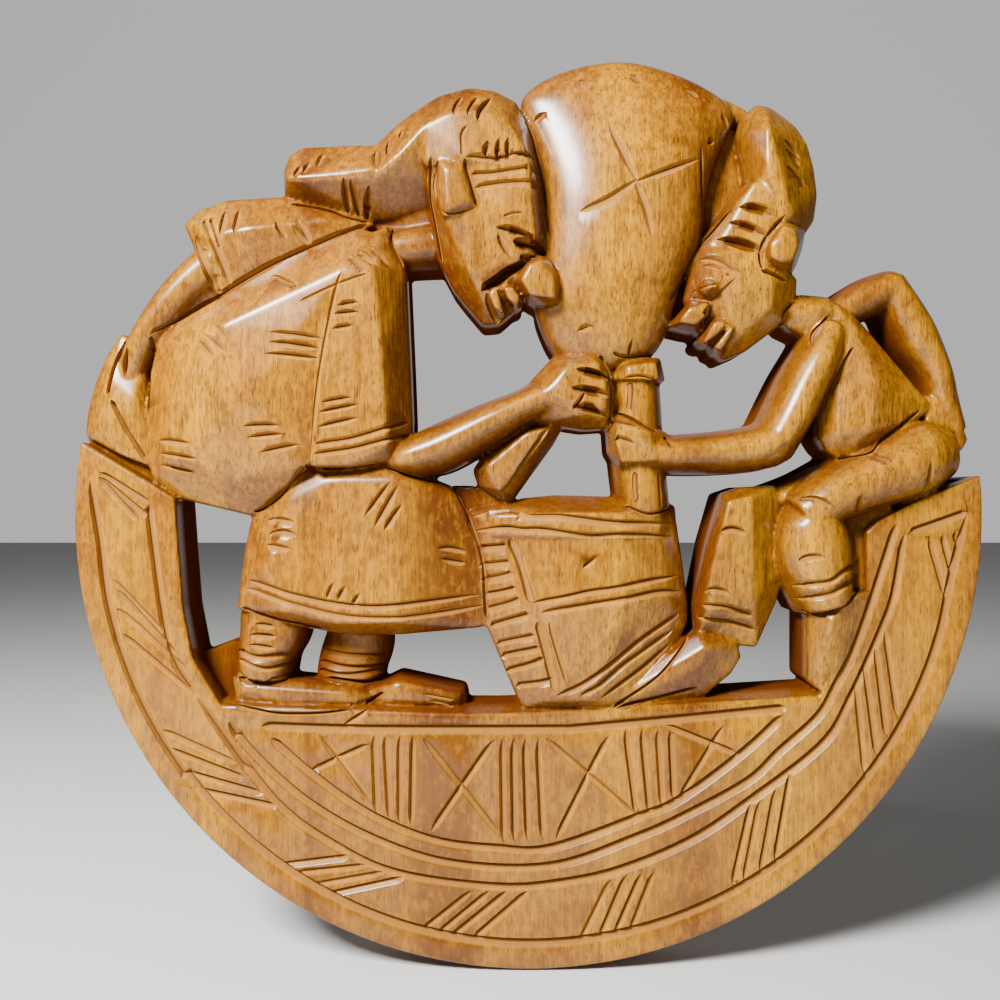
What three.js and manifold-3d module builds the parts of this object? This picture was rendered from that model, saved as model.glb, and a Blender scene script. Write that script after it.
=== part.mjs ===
// A round openwork wall plaque carved from one board: two people pound grain in a mortar,
// standing on a bench above a crescent-shaped rim with cut patterns.
//
// Everything is drawn on the face of the board in millimetres: x to the right, z up, and
// height h above the flat back. The back lies in the plane y = 0 and the carving faces -Y.
import * as THREE from "three";
import { ConvexGeometry } from "three/addons/geometries/ConvexGeometry.js";
import { mergeVertices } from "three/addons/utils/BufferGeometryUtils.js";
import Module from "manifold-3d";

const wasm = await Module();
wasm.setup();

// Driving dimensions
const PLAQUE_RADIUS = 140;
const RIM_THICKNESS = 20;
const RIM_ARC_STEPS = 38;
const LEDGE_BACK_HEIGHT = 12;
const LEDGE_RISE = 2.2;
const LEDGE_DEPTH_BELOW = 4;
const LEDGE_TUCK = 1;
const LINE_WIDTH = 1.7;
const LINE_DEPTH = 1.0;
const NICK_WIDTH = 2.2;
const NICK_DEPTH = 1.2;
const BORDER_INSET = 8;
const BORDER_END_INSET = 4.5;
const BORDER_START = Math.PI - 0.08;
const BORDER_STEPS = 14;
const CUT_OVERSHOOT = 1.2;
const TIP_OVERSHOOT = 0.24;
const LINE_EVEN = 0.9;
const NICK_EVEN = 0.3;
const LIMB_SHOULDER = 0.5;
const LIMB_ARC_STEPS = 4;
const SHORTEST_EDGE = 0.05;
const MERGE_DISTANCE = 1e-4;

const WOOD = new THREE.MeshStandardMaterial({ color: 0xb87a32, roughness: 0.32, metalness: 0 });

const onBoard = (x, z, h) => new THREE.Vector3(x, -h, z);

// A closed geometry becomes a solid that can be joined and cut. Faces that collapse go.
function solidOf(geometry) {
  const bare = geometry.clone();
  bare.deleteAttribute("normal");
  bare.deleteAttribute("uv");
  const merged = mergeVertices(bare, MERGE_DISTANCE);
  const index = merged.getIndex().array;
  const triVerts = [];
  for (let i = 0; i < index.length; i += 3) {
    const [a, b, c] = [index[i], index[i + 1], index[i + 2]];
    if (a !== b && b !== c && c !== a) triVerts.push(a, b, c);
  }
  return new wasm.Manifold(new wasm.Mesh({
    numProp: 3,
    vertProperties: new Float32Array(merged.getAttribute("position").array),
    triVerts: new Uint32Array(triVerts),
    tolerance: SHORTEST_EDGE,
  }));
}

const hull = (points) => solidOf(new ConvexGeometry(points));
const join = (solids) => solids.reduce((whole, solid) => whole.add(solid));

function geometryOf(solid) {
  const mesh = solid.getMesh();
  const geometry = new THREE.BufferGeometry();
  geometry.setAttribute("position", new THREE.BufferAttribute(mesh.vertProperties, 3));
  geometry.setIndex(new THREE.BufferAttribute(mesh.triVerts, 1));
  return geometry;
}

const largestPiece = (solid) => solid.decompose().reduce((a, b) => (b.volume() > a.volume() ? b : a));

// Cuts can leave a loose splinter, and forms that lean together a speck of air. Only the board
// stays. The second look finds the pieces that part once the corners are rounded off.
const soundPiece = (solid) => largestPiece(solidOf(geometryOf(largestPiece(solid))));

// A faceted mass: its corners stand at their own heights, and its walls run to the flat back.
function block(corners) {
  return hull(corners.flatMap(([x, z, h]) => [onBoard(x, z, h), onBoard(x, z, 0)]));
}

// A closed skin over sections with equal numbers of corners. The corners of each go round
// clockwise as seen from the start of the run, and a fan closes each end.
function loft(sections) {
  const size = sections[0].length;
  const end = size * (sections.length - 1);
  const triangles = [];
  for (let start = 0; start < end; start += size) {
    for (let i = 0; i < size; i += 1) {
      const [a, b] = [start + i, start + ((i + 1) % size)];
      triangles.push(a, b, b + size, a, b + size, a + size);
    }
  }
  for (let i = 1; i < size - 1; i += 1) {
    triangles.push(0, i + 1, i, end, end + i, end + i + 1);
  }
  const geometry = new THREE.BufferGeometry().setFromPoints(sections.flat());
  geometry.setIndex(triangles);
  return solidOf(geometry);
}

// A rounded limb through stations [x, z, half width, crest height].
function limb(stations) {
  const sections = stations.map(([x, z, halfWidth, crest], i) => {
    const before = stations[Math.max(i - 1, 0)];
    const after = stations[Math.min(i + 1, stations.length - 1)];
    const along = new THREE.Vector2(after[0] - before[0], after[1] - before[1]).normalize();
    const across = (side, h) => onBoard(x - along.y * side, z + along.x * side, h);
    const shoulder = crest * LIMB_SHOULDER;
    const arc = Array.from({ length: LIMB_ARC_STEPS + 1 }, (_, step) => {
      const angle = (Math.PI * step) / LIMB_ARC_STEPS;
      return across(halfWidth * Math.cos(angle), shoulder + (crest - shoulder) * Math.sin(angle));
    });
    return [across(halfWidth, 0), ...arc, across(-halfWidth, 0)];
  });
  return loft(sections);
}

// The front edge of the bench, from the left heel to the right heel.
const BENCH_EDGE = [[-94.5, -59], [-50.5, -60.5], [-9, -61.5], [28, -59.5], [65, -57.5], [89.5, -56]];

// The crescent rim with the bench on top of it, one flat plate.
function rimPlate() {
  const [startX, startZ] = [-138, 23];
  const [endX, endZ] = [138, 12.5];
  const start = Math.atan2(startZ, startX);
  const end = Math.atan2(endZ, endX) + 2 * Math.PI;
  const outline = Array.from({ length: RIM_ARC_STEPS + 1 }, (_, step) => {
    const angle = start + ((end - start) * step) / RIM_ARC_STEPS;
    return new THREE.Vector2(PLAQUE_RADIUS * Math.cos(angle), PLAQUE_RADIUS * Math.sin(angle));
  });
  const inner = [
    ...[[118.5, 4], [108, -1.5], [104, -5], [104, -23.5], [95.5, -43]],
    ...BENCH_EDGE.toReversed(),
    ...[[-103.5, -44], [-106.5, -28.5], [-108, -9], [-109, 5.5]],
  ].map(([x, z]) => new THREE.Vector2(x, z));
  const plate = new THREE.ExtrudeGeometry(new THREE.Shape([...outline, ...inner]), {
    depth: RIM_THICKNESS,
    bevelEnabled: false,
    steps: 1,
  });
  plate.rotateX(Math.PI / 2);
  return solidOf(plate);
}

// The top of the bench slopes up from its front edge to the back.
function benchLedge() {
  return loft(BENCH_EDGE.map(([x, z]) => [
    onBoard(x, z + LEDGE_RISE, 0),
    onBoard(x, z + LEDGE_RISE, LEDGE_BACK_HEIGHT),
    onBoard(x, z, RIM_THICKNESS),
    onBoard(x, z - LEDGE_DEPTH_BELOW, RIM_THICKNESS - LEDGE_TUCK),
    onBoard(x, z - LEDGE_DEPTH_BELOW, 0),
  ]));
}

// The big woman on the left, bent over the mortar.
function bigWoman() {
  const farSleeve = block([
    [-107.5, 91, 15], [-102.5, 95.5, 15], [-94, 98.5, 15], [-76, 99.5, 15], [-60.5, 95.5, 15],
    [-48, 91, 16], [-56.5, 85, 19], [-73.5, 79, 19], [-93, 69.5, 18], [-95.5, 67.5, 17],
    [-101, 76, 15], [-98.5, 86, 21], [-85, 87.5, 23], [-62.5, 90.5, 21],
  ]);
  const farForearm = limb([
    [-96.5, 80.5, 7.5, 20], [-106, 72.5, 7, 20], [-113.5, 64, 6.5, 20],
    [-121.5, 52.5, 5.5, 19], [-126, 40.5, 5.5, 16],
  ]);
  const farHand = block([
    [-128, 57, 13], [-132.5, 50.5, 13], [-136, 42, 13], [-138, 33, 14], [-138.5, 25, 15],
    [-127, 19, 17], [-117, 15, 17], [-119, 32, 15], [-120.5, 53.5, 13],
    [-129.5, 42, 17], [-130.5, 29.5, 18], [-122, 36, 18],
  ]);
  const torso = block([
    [-119, 19, 17], [-118.5, 32, 17], [-117.5, 43.5, 17], [-115, 54.5, 17], [-107.5, 60.5, 18],
    [-94.5, 67.5, 19], [-73.5, 79.5, 20], [-52, 88.5, 20], [-42, 85, 20], [-56, 65, 27],
    [-64.5, 35, 27], [-67.5, 14.5, 25], [-74, 10, 18], [-86, 0, 17], [-96, 2.5, 17],
    [-108.5, 5.5, 17], [-116.5, 11, 17],
    [-91.5, 57, 28], [-55, 74, 28.5], [-102, 49.5, 25], [-108.5, 35, 24], [-107, 18.5, 24.5],
    [-89.5, 11.5, 24], [-72, 16.5, 26], [-82, 37.5, 29.5], [-68.5, 55.5, 29.5],
  ]);
  const nearSleeve = block([
    [-56, 73.5, 28.5], [-51, 84.5, 23], [-44, 89.5, 19], [-41, 82, 19], [-38, 76.5, 19],
    [-36.5, 42, 18], [-36, 28, 18], [-37, 21, 18], [-43, 16.5, 22], [-54, 15, 26],
    [-66, 15, 27], [-62.5, 49.5, 29], [-47, 73, 28.5], [-44.5, 46.5, 28.5], [-43, 21.5, 26.5],
  ]);
  const nearForearm = limb([
    [-43, 16, 3, 22], [-38.5, 17.5, 5.5, 26], [-27, 21, 7.5, 28], [-12, 28.5, 6.5, 29],
    [-1.5, 33.5, 5.5, 28.5], [5.5, 36.5, 6.5, 28],
  ]);
  const nearHand = block([
    [0.5, 41, 20], [4, 44.5, 20], [8, 49, 20], [19.5, 50.5, 20], [23, 49, 20], [26, 43.5, 20],
    [26, 29.5, 20], [24, 27, 20], [17, 26.5, 20], [8, 28, 20], [1, 29, 20],
    [4.5, 37, 28], [11.5, 44.5, 28], [20.5, 46, 26.5], [23, 39.5, 27], [23, 32.5, 26.5],
    [14, 30.5, 26.5], [9, 36, 29],
  ]);
  const skirt = block([
    [-70.5, 14.5, 19], [-43.5, 16.5, 19], [-30.5, 10.5, 18], [-24.5, 9, 17], [-21, 5, 17],
    [-17, -6.5, 17], [-14.5, -18.5, 17], [-13.5, -29, 17], [-13.5, -34.5, 17], [-20, -35, 18],
    [-39.5, -36.5, 20], [-59, -36, 20], [-74, -33.5, 19], [-90.5, -29, 17], [-89.5, -21.5, 17],
    [-88, -9, 16], [-86, 0, 16], [-79, 6, 17],
    [-73, 5, 22], [-60.5, 11, 23], [-39.5, 11, 23], [-30, 5, 22.5], [-24, -25.5, 24],
    [-39, -32, 26], [-57, -32, 26.5], [-73, -28.5, 25], [-79, -13.5, 23.5],
  ]);
  const leftLeg = limb([
    [-80.5, -27.5, 10, 19], [-80.5, -35.5, 10.5, 19.5], [-82.5, -43, 9, 20], [-83.5, -51, 8.5, 19],
  ]);
  const rightLeg = limb([
    [-53.5, -33.5, 9.5, 15], [-54, -40.5, 10.5, 15], [-56, -47, 10.5, 15], [-57, -54, 10.5, 14],
  ]);
  const leftFoot = block([
    [-92.5, -50.5, 15], [-75.5, -51.5, 15], [-55.5, -53.5, 15], [-48.5, -56.5, 14], [-49.5, -59.5, 14],
    [-55, -61.5, 15], [-77.5, -61.5, 15], [-91.5, -58, 15],
    [-87.5, -53.5, 18], [-57, -55.5, 18], [-54, -57.5, 17.5], [-75.5, -57.5, 17.5],
  ]);
  const rightFoot = block([
    [-51, -55.5, 13], [-40.5, -50.5, 13], [-20, -55, 13], [-19, -58.5, 13], [-22, -61, 14], [-45.5, -60, 14],
    [-40.5, -52.5, 17], [-23, -55.5, 17], [-24.5, -58, 17], [-43, -57, 17],
  ]);
  const heelWeb = block([[-103.5, -44, 9], [-93, -40, 9], [-91, -56, 9], [-96, -62, 9]]);
  const elbowWeb = block([
    [-117, 51, 12], [-107.5, 59.5, 12], [-94.5, 67, 13], [-96, 78, 17], [-106, 71.5, 18], [-115, 60.5, 17],
  ]);
  return [
    farSleeve, farForearm, farHand, torso, nearSleeve, nearForearm, nearHand,
    skirt, leftLeg, rightLeg, leftFoot, rightFoot, heelWeb, elbowWeb, ...bigWomanHead(),
  ];
}

// Her head in profile, with the wrapped headdress and its long tail.
function bigWomanHead() {
  const neck = limb([[-48, 82, 6, 20], [-36.5, 83.5, 6.5, 20.5], [-24, 85, 7.5, 20]]);
  const tail = block([
    [-76, 99, 14], [-76, 107, 16], [-74.5, 112, 16], [-70.5, 114.5, 16], [-58.5, 115, 16],
    [-46, 115, 17], [-44, 102.5, 23], [-48.5, 92.5, 14], [-59, 94.5, 14],
    [-74, 103.5, 21], [-70, 103, 22.5], [-57, 103, 23.5], [-47, 105, 24.5],
  ]);
  const twist = block([
    [-48, 114.5, 17], [-43.5, 117, 17], [-40, 121.5, 18], [-34, 125.5, 19], [-45.5, 104, 25],
    [-39, 108.5, 27], [-30.5, 117.5, 28], [-31, 102.5, 21], [-30.5, 96, 15], [-45, 92.5, 14], [-49, 92.5, 14],
  ]);
  const cap = block([
    [-40, 121.5, 18], [-34, 125.5, 19], [-27.5, 129.5, 19], [-18, 132, 19], [-10.5, 131, 19],
    [-4, 128, 19], [-0.5, 121, 20], [1.5, 111.5, 22], [-31, 105.5, 27], [-27, 106, 28],
    [-18.5, 106, 29.5], [1.5, 109, 26], [-30.5, 117.5, 28], [-23.5, 120.5, 29],
    [-15.5, 120.5, 29.5], [-8, 116.5, 29.5], [-3.5, 109.5, 28.5],
  ]);
  const head = block([
    [-31, 101.5, 24], [-29, 92.5, 23], [-27.5, 78.5, 19], [-23, 70, 18], [-19.5, 65.5, 18],
    [-14, 59, 18], [-9, 59.5, 19], [-4.5, 63.5, 20], [3.5, 76.5, 21], [6.5, 84.5, 22],
    [5, 96.5, 23], [2.5, 110, 23], [-30, 106, 26], [-18.5, 107, 29], [-2, 108.5, 28],
    [-25.5, 90.5, 27], [-2, 93, 29], [-2, 81.5, 27.5], [-18, 74.5, 27.5], [-13.5, 65.5, 24.5],
  ]);
  const ear = block([
    [-27, 106.5, 28.5], [-20, 106.5, 28.5], [-18, 100.5, 28.5], [-15.5, 92.5, 28.5], [-20, 91, 28],
    [-25.5, 89.5, 28], [-27.5, 94.5, 28], [-27.5, 101.5, 28],
    [-25, 103, 30.5], [-20.5, 102.5, 30.5], [-18.5, 94, 30.5], [-24.5, 91.5, 30.5],
  ]);
  const nose = block([
    [-4.5, 74.5, 22], [-2, 77.5, 22], [2, 79, 22], [5.5, 77, 22], [7.5, 73, 22], [8.5, 68.5, 22],
    [7.5, 65, 22], [5, 64, 22], [0.5, 66, 22], [-2.5, 69.5, 22],
    [0, 74, 26.5], [4.5, 71, 27], [6, 67, 26.5], [1.5, 68, 26.5],
  ]);
  const upperLip = block([
    [-13.5, 70, 20], [-10, 71.5, 20], [-8, 67, 20], [-6.5, 61.5, 20], [-9, 60, 20], [-12, 64.5, 20],
    [-10.5, 68, 24], [-8, 62, 24],
  ]);
  const lowerLip = block([
    [-9, 70.5, 20], [-5, 70, 20], [-1.5, 66.5, 20], [-3, 63.5, 20], [-6.5, 64.5, 20],
    [-6, 68, 24.5], [-3.5, 64.5, 24.5],
  ]);
  const neckWeb = block([[-51, 92, 12], [-30, 99, 15], [-28.5, 88, 15], [-48, 86, 15]]);
  return [neck, tail, twist, cap, head, ear, nose, upperLip, lowerLip, neckWeb];
}

// The mortar, the two pestles and the gourd-shaped crown behind them.
function middleOfTheCarving() {
  const mortar = block([
    [-18, 1, 17], [-16.5, -7.5, 17], [-14.5, -20, 17], [-13, -34, 17], [-9.5, -40.5, 17],
    [-5.5, -50.5, 17], [-2, -59.5, 17], [25.5, -60, 17], [35.5, -57.5, 17], [43.5, -46.5, 17],
    [49.5, -33.5, 16], [49.5, -26.5, 16], [47.5, -17, 16], [46, -1.5, 16],
    [-9, 0.5, 21], [9.5, 0.5, 24.5], [27.5, 0.5, 24.5], [39.5, 0.5, 21],
    [-6, -25.5, 23], [9.5, -25.5, 26], [29, -25.5, 26], [43, -26, 21], [5, -56.5, 22], [18.5, -56, 23],
  ]);
  const mortarRim = block([
    [-18, 1, 17], [-4.5, 1.5, 16], [-1.5, 5, 15], [8.5, 6, 15], [28.5, 5.5, 15], [46, 3, 14],
    [46, -2, 16], [44.5, -7.5, 17], [-17, -7.5, 17],
    [-9, 0, 22.5], [9.5, 0.5, 26], [27.5, 0.5, 26], [39.5, -0.5, 22],
    [-9, -6, 22.5], [9.5, -6.5, 26], [27.5, -6.5, 26], [39.5, -6.5, 22],
  ]);
  const leaningPestle = block([
    [-17, 14, 17], [-15, 17, 17], [0, 27.5, 18], [8.5, 28.5, 18], [10, 26.5, 17], [7.5, 22, 16],
    [-1.5, 10, 16], [-5.5, 4, 15], [-9, 5, 16], [-15.5, 9.5, 17],
    [-12.5, 15, 22], [-0.5, 25, 24], [5, 26, 24], [3.5, 21.5, 22], [-9, 8, 22],
  ]);
  const mortarEar = block([
    [-24, 9, 14], [-17.5, 9, 15], [-10.5, 5.5, 15], [-4.5, 1.5, 15], [-4.5, -2, 15], [-17.5, -2.5, 15],
  ]);
  const pestle = limb([
    [33.5, 44, 7.5, 23], [33.5, 35, 8, 24], [34.5, 18, 8, 24], [36, 5, 8, 24], [36, -1, 8, 23],
  ]);
  const pestleTop = block([
    [25.5, 42, 19], [28.5, 47, 19], [34.5, 48.5, 19], [40.5, 48.5, 19], [42, 41.5, 19],
    [30, 45, 24.5], [38, 46, 25], [39, 41.5, 25], [30.5, 41.5, 25],
  ]);
  const crownUpper = block([
    [-2.5, 129, 17], [0.5, 133, 17], [6, 137, 17], [14.5, 140, 17], [24, 141, 17], [38, 140.5, 17],
    [50.5, 136.5, 17], [59, 131, 17], [65.5, 125, 16], [60.5, 118.5, 16], [54.5, 98.5, 16], [53.5, 87.5, 16],
    [5, 82.5, 18], [5.5, 98, 18], [2, 117, 17],
    [22, 122, 24.5], [38, 122, 24.5], [22, 100, 27], [40, 100, 27], [31, 100.5, 28], [28, 82, 27.5],
  ]);
  const crownLower = block([
    [54.5, 98.5, 16], [53.5, 87.5, 16], [50.5, 79, 16], [47, 71.5, 17], [44, 59, 17], [39, 50.5, 18],
    [24.5, 45, 18], [13.5, 47.5, 18], [8, 50, 17], [5, 56, 17], [2.5, 64, 17], [5, 82.5, 18], [5.5, 98, 18],
    [22, 98, 27], [40, 98, 27], [20, 77, 26.5], [35, 77, 26], [18, 56, 24.5], [30, 56, 24.5],
  ]);
  const lowPanel = block([
    [52, 111.5, 15], [63, 121.5, 14], [67, 119.5, 14], [67, 98.5, 15], [60.5, 91.5, 16], [50, 84, 16],
  ]);
  const sliver = block([[61, 132, 12], [69, 128, 12], [70.5, 122, 12], [63, 121, 12]]);
  return [
    mortar, mortarRim, leaningPestle, mortarEar, pestle, pestleTop,
    crownUpper, crownLower, lowPanel, sliver,
  ];
}

// The smaller woman on the right, sitting on the end of the rim.
function smallWoman() {
  const farArm = limb([[97, 63, 5.5, 19], [106.5, 68.5, 6, 20], [115.5, 72.5, 5, 20]]);
  const farForearm = limb([
    [113, 73.5, 5, 20], [121, 58.5, 7, 20], [128, 45.5, 5.5, 19], [130.5, 36, 5.5, 18], [133.5, 26, 5.5, 17],
  ]);
  const farHand = block([
    [123.5, 37.5, 15], [128, 36.5, 17], [133.5, 32, 17], [139, 25, 15], [134.5, 20, 17], [124, 29, 17],
  ]);
  const torso = block([
    [94, 65.5, 20], [99.5, 62.5, 19], [103.5, 59, 18], [115.5, 44.5, 17], [124, 35.5, 17], [125, 33, 17],
    [120, 29.5, 18], [109, 21.5, 18], [99.5, 17.5, 18], [97, 17, 18], [92.5, 20, 18], [90, 24, 18],
    [91.5, 31, 19], [97, 42, 20],
    [100, 57, 22], [102.5, 49, 24], [104.5, 39.5, 25.5], [104, 26, 24.5], [94.5, 25.5, 23],
  ]);
  const nearArm = limb([
    [94, 59, 6, 23], [90, 49.5, 7, 27], [85.5, 41, 7.5, 28], [80.5, 31, 7.5, 28.5], [76.5, 24, 7, 28],
  ]);
  const nearForearm = limb([
    [76.5, 24, 7, 28], [70.5, 21, 7, 28], [58, 19.5, 6.5, 27.5], [45.5, 19, 6, 27], [36, 19, 5.5, 27],
  ]);
  const nearHand = block([
    [25.5, 30.5, 20], [28, 32, 20], [34.5, 29.5, 20], [43, 25, 20], [43.5, 14, 19], [28.5, 14, 19],
    [25, 19.5, 19], [24.5, 26.5, 19],
    [28, 28.5, 26.5], [35.5, 25, 28], [38, 17, 27], [28, 16.5, 26], [26, 23.5, 26],
  ]);
  const nearThigh = limb([
    [132.5, 21, 8.5, 20], [123, 18.5, 11.5, 26], [113, 14.5, 11, 27.5],
    [102.5, 10, 9.5, 27.5], [92.5, 5.5, 8.5, 28], [84.5, -0.5, 8.5, 27],
  ]);
  const nearShin = limb([
    [87.5, 4, 7, 22], [87.5, -1, 10, 27], [87.5, -5, 12, 28], [88, -11.5, 12.5, 28.5],
    [90, -19, 11, 28], [92.5, -28, 9, 26],
  ]);
  const nearFoot = block([
    [86.5, -28, 18], [86.5, -51, 17], [90, -54, 19], [96, -48, 20], [107, -23, 19],
    [98, -24.5, 23], [92, -32, 24.5], [89, -47.5, 20],
  ]);
  const shinWeb = block([
    [96, 4, 12], [112, 6, 15], [113.5, -1, 19.5], [109.5, -14, 19.5], [105, -27, 19.5], [100, -27, 16],
  ]);
  const farThigh = limb([[74, 4, 4.5, 17], [86, 8.5, 4.5, 18], [98, 15, 4.5, 18]]);
  const farShin = block([
    [60, 6.5, 19], [66, 8.5, 19], [76.5, 9, 17], [80, 5, 15], [79.5, -6, 15], [80.5, -16, 15],
    [77.5, -27, 15], [72.5, -36.5, 16], [71, -41, 16], [52.5, -38.5, 18], [51.5, -28.5, 18],
    [53.5, -19, 18], [55.5, -9, 18],
    [60.5, 4, 25], [67, 5.5, 25], [68.5, -25.5, 23], [54.5, -29, 24], [55.5, -16.5, 25],
  ]);
  const farFoot = block([
    [22.5, -59.5, 18], [35.5, -51, 19], [44.5, -44.5, 19], [52, -36, 20], [64.5, -39, 18],
    [66, -44, 17], [63, -49, 17], [54.5, -56, 17], [24, -61, 17],
    [54, -40, 24], [50.5, -46.5, 23], [37, -53.5, 21],
  ]);
  return [
    farArm, farForearm, farHand, torso, nearArm, nearForearm, nearHand, nearThigh, nearShin, nearFoot,
    shinWeb, farThigh, farShin, farFoot, ...smallWomanHead(),
  ];
}

// Her bowed head, with a high headdress and a knot of cloth over the ear.
function smallWomanHead() {
  const neck = block([
    [78, 66, 17], [84.5, 68.5, 17], [93, 67.5, 18], [96, 62.5, 20], [87.5, 55, 18], [80, 58.5, 17],
    [81, 64.5, 21], [89.5, 64, 22], [83, 59.5, 20],
  ]);
  const cap = block([
    [65, 118.5, 17], [66.5, 124, 16], [71.5, 128, 16], [75.5, 127, 16], [79, 124.5, 16], [83.5, 121, 16],
    [87, 115.5, 16], [89, 108, 16], [90, 100, 16], [89, 92, 16],
    [85, 86.5, 18], [67, 107, 18], [68.5, 96.5, 22],
    [72.5, 123.5, 22], [71.5, 116.5, 28], [71.5, 106.5, 28.5],
    [76.5, 97.5, 28.5], [79, 90.5, 27], [75, 87.5, 27],
  ]);
  const browBand = block([
    [65.5, 101.5, 18], [53.5, 84.5, 20], [51.5, 81, 20], [70.5, 80, 27], [75, 88.5, 27],
    [76, 96, 28], [68.5, 101, 26], [58.5, 83.5, 25],
  ]);
  const knot = block([
    [75, 88.5, 27], [82.5, 86.5, 25], [82.5, 79, 24], [79.5, 74.5, 24], [76.5, 72.5, 25], [70, 74.5, 27],
    [71, 81.5, 27], [74.5, 85.5, 30.5], [79, 83.5, 29.5], [77.5, 76.5, 29.5], [72, 75.5, 30.5],
  ]);
  const face = block([
    [53.5, 84.5, 20], [51, 80.5, 20], [49.5, 73, 19], [48, 66.5, 19], [53.5, 60, 19], [56.5, 52.5, 19],
    [60, 48, 19], [67, 51, 19], [73.5, 56, 19], [79, 60, 19],
    [82.5, 68, 19], [82.5, 73, 20], [70.5, 80.5, 26],
    [56, 79, 26], [58, 68.5, 25], [64.5, 69.5, 28], [73, 69.5, 27],
    [73, 63, 25.5], [62.5, 58, 25], [60.5, 52, 23],
  ]);
  const nose = block([
    [49.5, 67, 20], [46.5, 64.5, 20], [44.5, 59.5, 20], [46.5, 58, 20],
    [53, 58, 20], [56, 61, 20], [56, 65.5, 20],
    [52, 65.5, 23.5], [48, 61, 24.5], [52.5, 60.5, 25],
  ]);
  const upperLip = block([
    [56.5, 60, 21], [61.5, 59, 21], [55, 52, 19], [52, 55, 19], [56, 57, 25], [53.5, 53.5, 23],
  ]);
  const lowerLip = block([
    [62, 58.5, 21], [64.5, 56.5, 21], [59, 48.5, 19], [56.5, 51, 19], [60.5, 55, 25], [57.5, 50.5, 23],
  ]);
  return [neck, cap, browBand, knot, face, nose, upperLip, lowerLip];
}

// The uncut figures, rim and bench, joined into one board.
const board = join([rimPlate(), benchLedge(), ...bigWoman(), ...middleOfTheCarving(), ...smallWoman()]);

const boardMesh = new THREE.Mesh(geometryOf(board), new THREE.MeshBasicMaterial({ side: THREE.DoubleSide }));
const ray = new THREE.Raycaster();

// How far the carved face stands above the back at one place.
function faceHeight(x, z) {
  ray.set(onBoard(x, z, 2 * RIM_THICKNESS), new THREE.Vector3(0, 1, 0));
  const [hit] = ray.intersectObject(boardMesh);
  return hit ? -hit.point.y : RIM_THICKNESS;
}

// One stroke of the V-shaped chisel along a path on the face, with a point at each end. It is as
// deep as it gets over the middle share `even` of its length, which is made in `steps` pieces.
function stroke(path, width, depth, steps, even) {
  const points = path.map(([x, z]) => new THREE.Vector2(x, z));
  const course = points.length > 2 ? new THREE.SplineCurve(points) : new THREE.LineCurve(...points);
  const reach = 0.5 * width * (1 + CUT_OVERSHOOT / depth);
  const tip = (share) => {
    const { x, y } = course.getPointAt(share);
    return Array(3).fill(onBoard(x, y, faceHeight(x, y) + TIP_OVERSHOOT));
  };
  const section = (share) => {
    const { x, y } = course.getPointAt(share);
    const along = course.getTangentAt(share);
    const height = faceHeight(x, y);
    const side = (distance) => onBoard(
      x - along.y * distance, y + along.x * distance, height + CUT_OVERSHOOT,
    );
    return [side(reach), side(-reach), onBoard(x, y, height - depth)];
  };
  const middle = steps === 0
    ? [0.5]
    : Array.from({ length: steps + 1 }, (_, i) => 0.5 + even * (i / steps - 0.5));
  return loft([tip(0), ...middle.map(section), tip(1)]);
}

const line = (path, steps = 1) => stroke(path, LINE_WIDTH, LINE_DEPTH, steps, LINE_EVEN);
const nick = (path) => stroke(path, NICK_WIDTH, NICK_DEPTH, path.length - 2, NICK_EVEN);

// A row of straight cuts, worked out between the first and the last of them.
function hatch(first, last, count) {
  const between = (a, b, t) => [a[0] + (b[0] - a[0]) * t, a[1] + (b[1] - a[1]) * t];
  return Array.from({ length: count }, (_, i) => {
    const t = i / (count - 1);
    return line([between(first[0], last[0], t), between(first[1], last[1], t)], 1);
  });
}

// An arc of the rim's border line, with its two ends flared towards the edge.
function rimBorder() {
  return Array.from({ length: BORDER_STEPS + 1 }, (_, i) => {
    const angle = BORDER_START + ((2 * Math.PI - BORDER_START) * i) / BORDER_STEPS;
    const atEnd = i === 0 || i === BORDER_STEPS;
    const radius = PLAQUE_RADIUS - (atEnd ? BORDER_END_INSET : BORDER_INSET);
    return [radius * Math.cos(angle), radius * Math.sin(angle)];
  });
}

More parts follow.
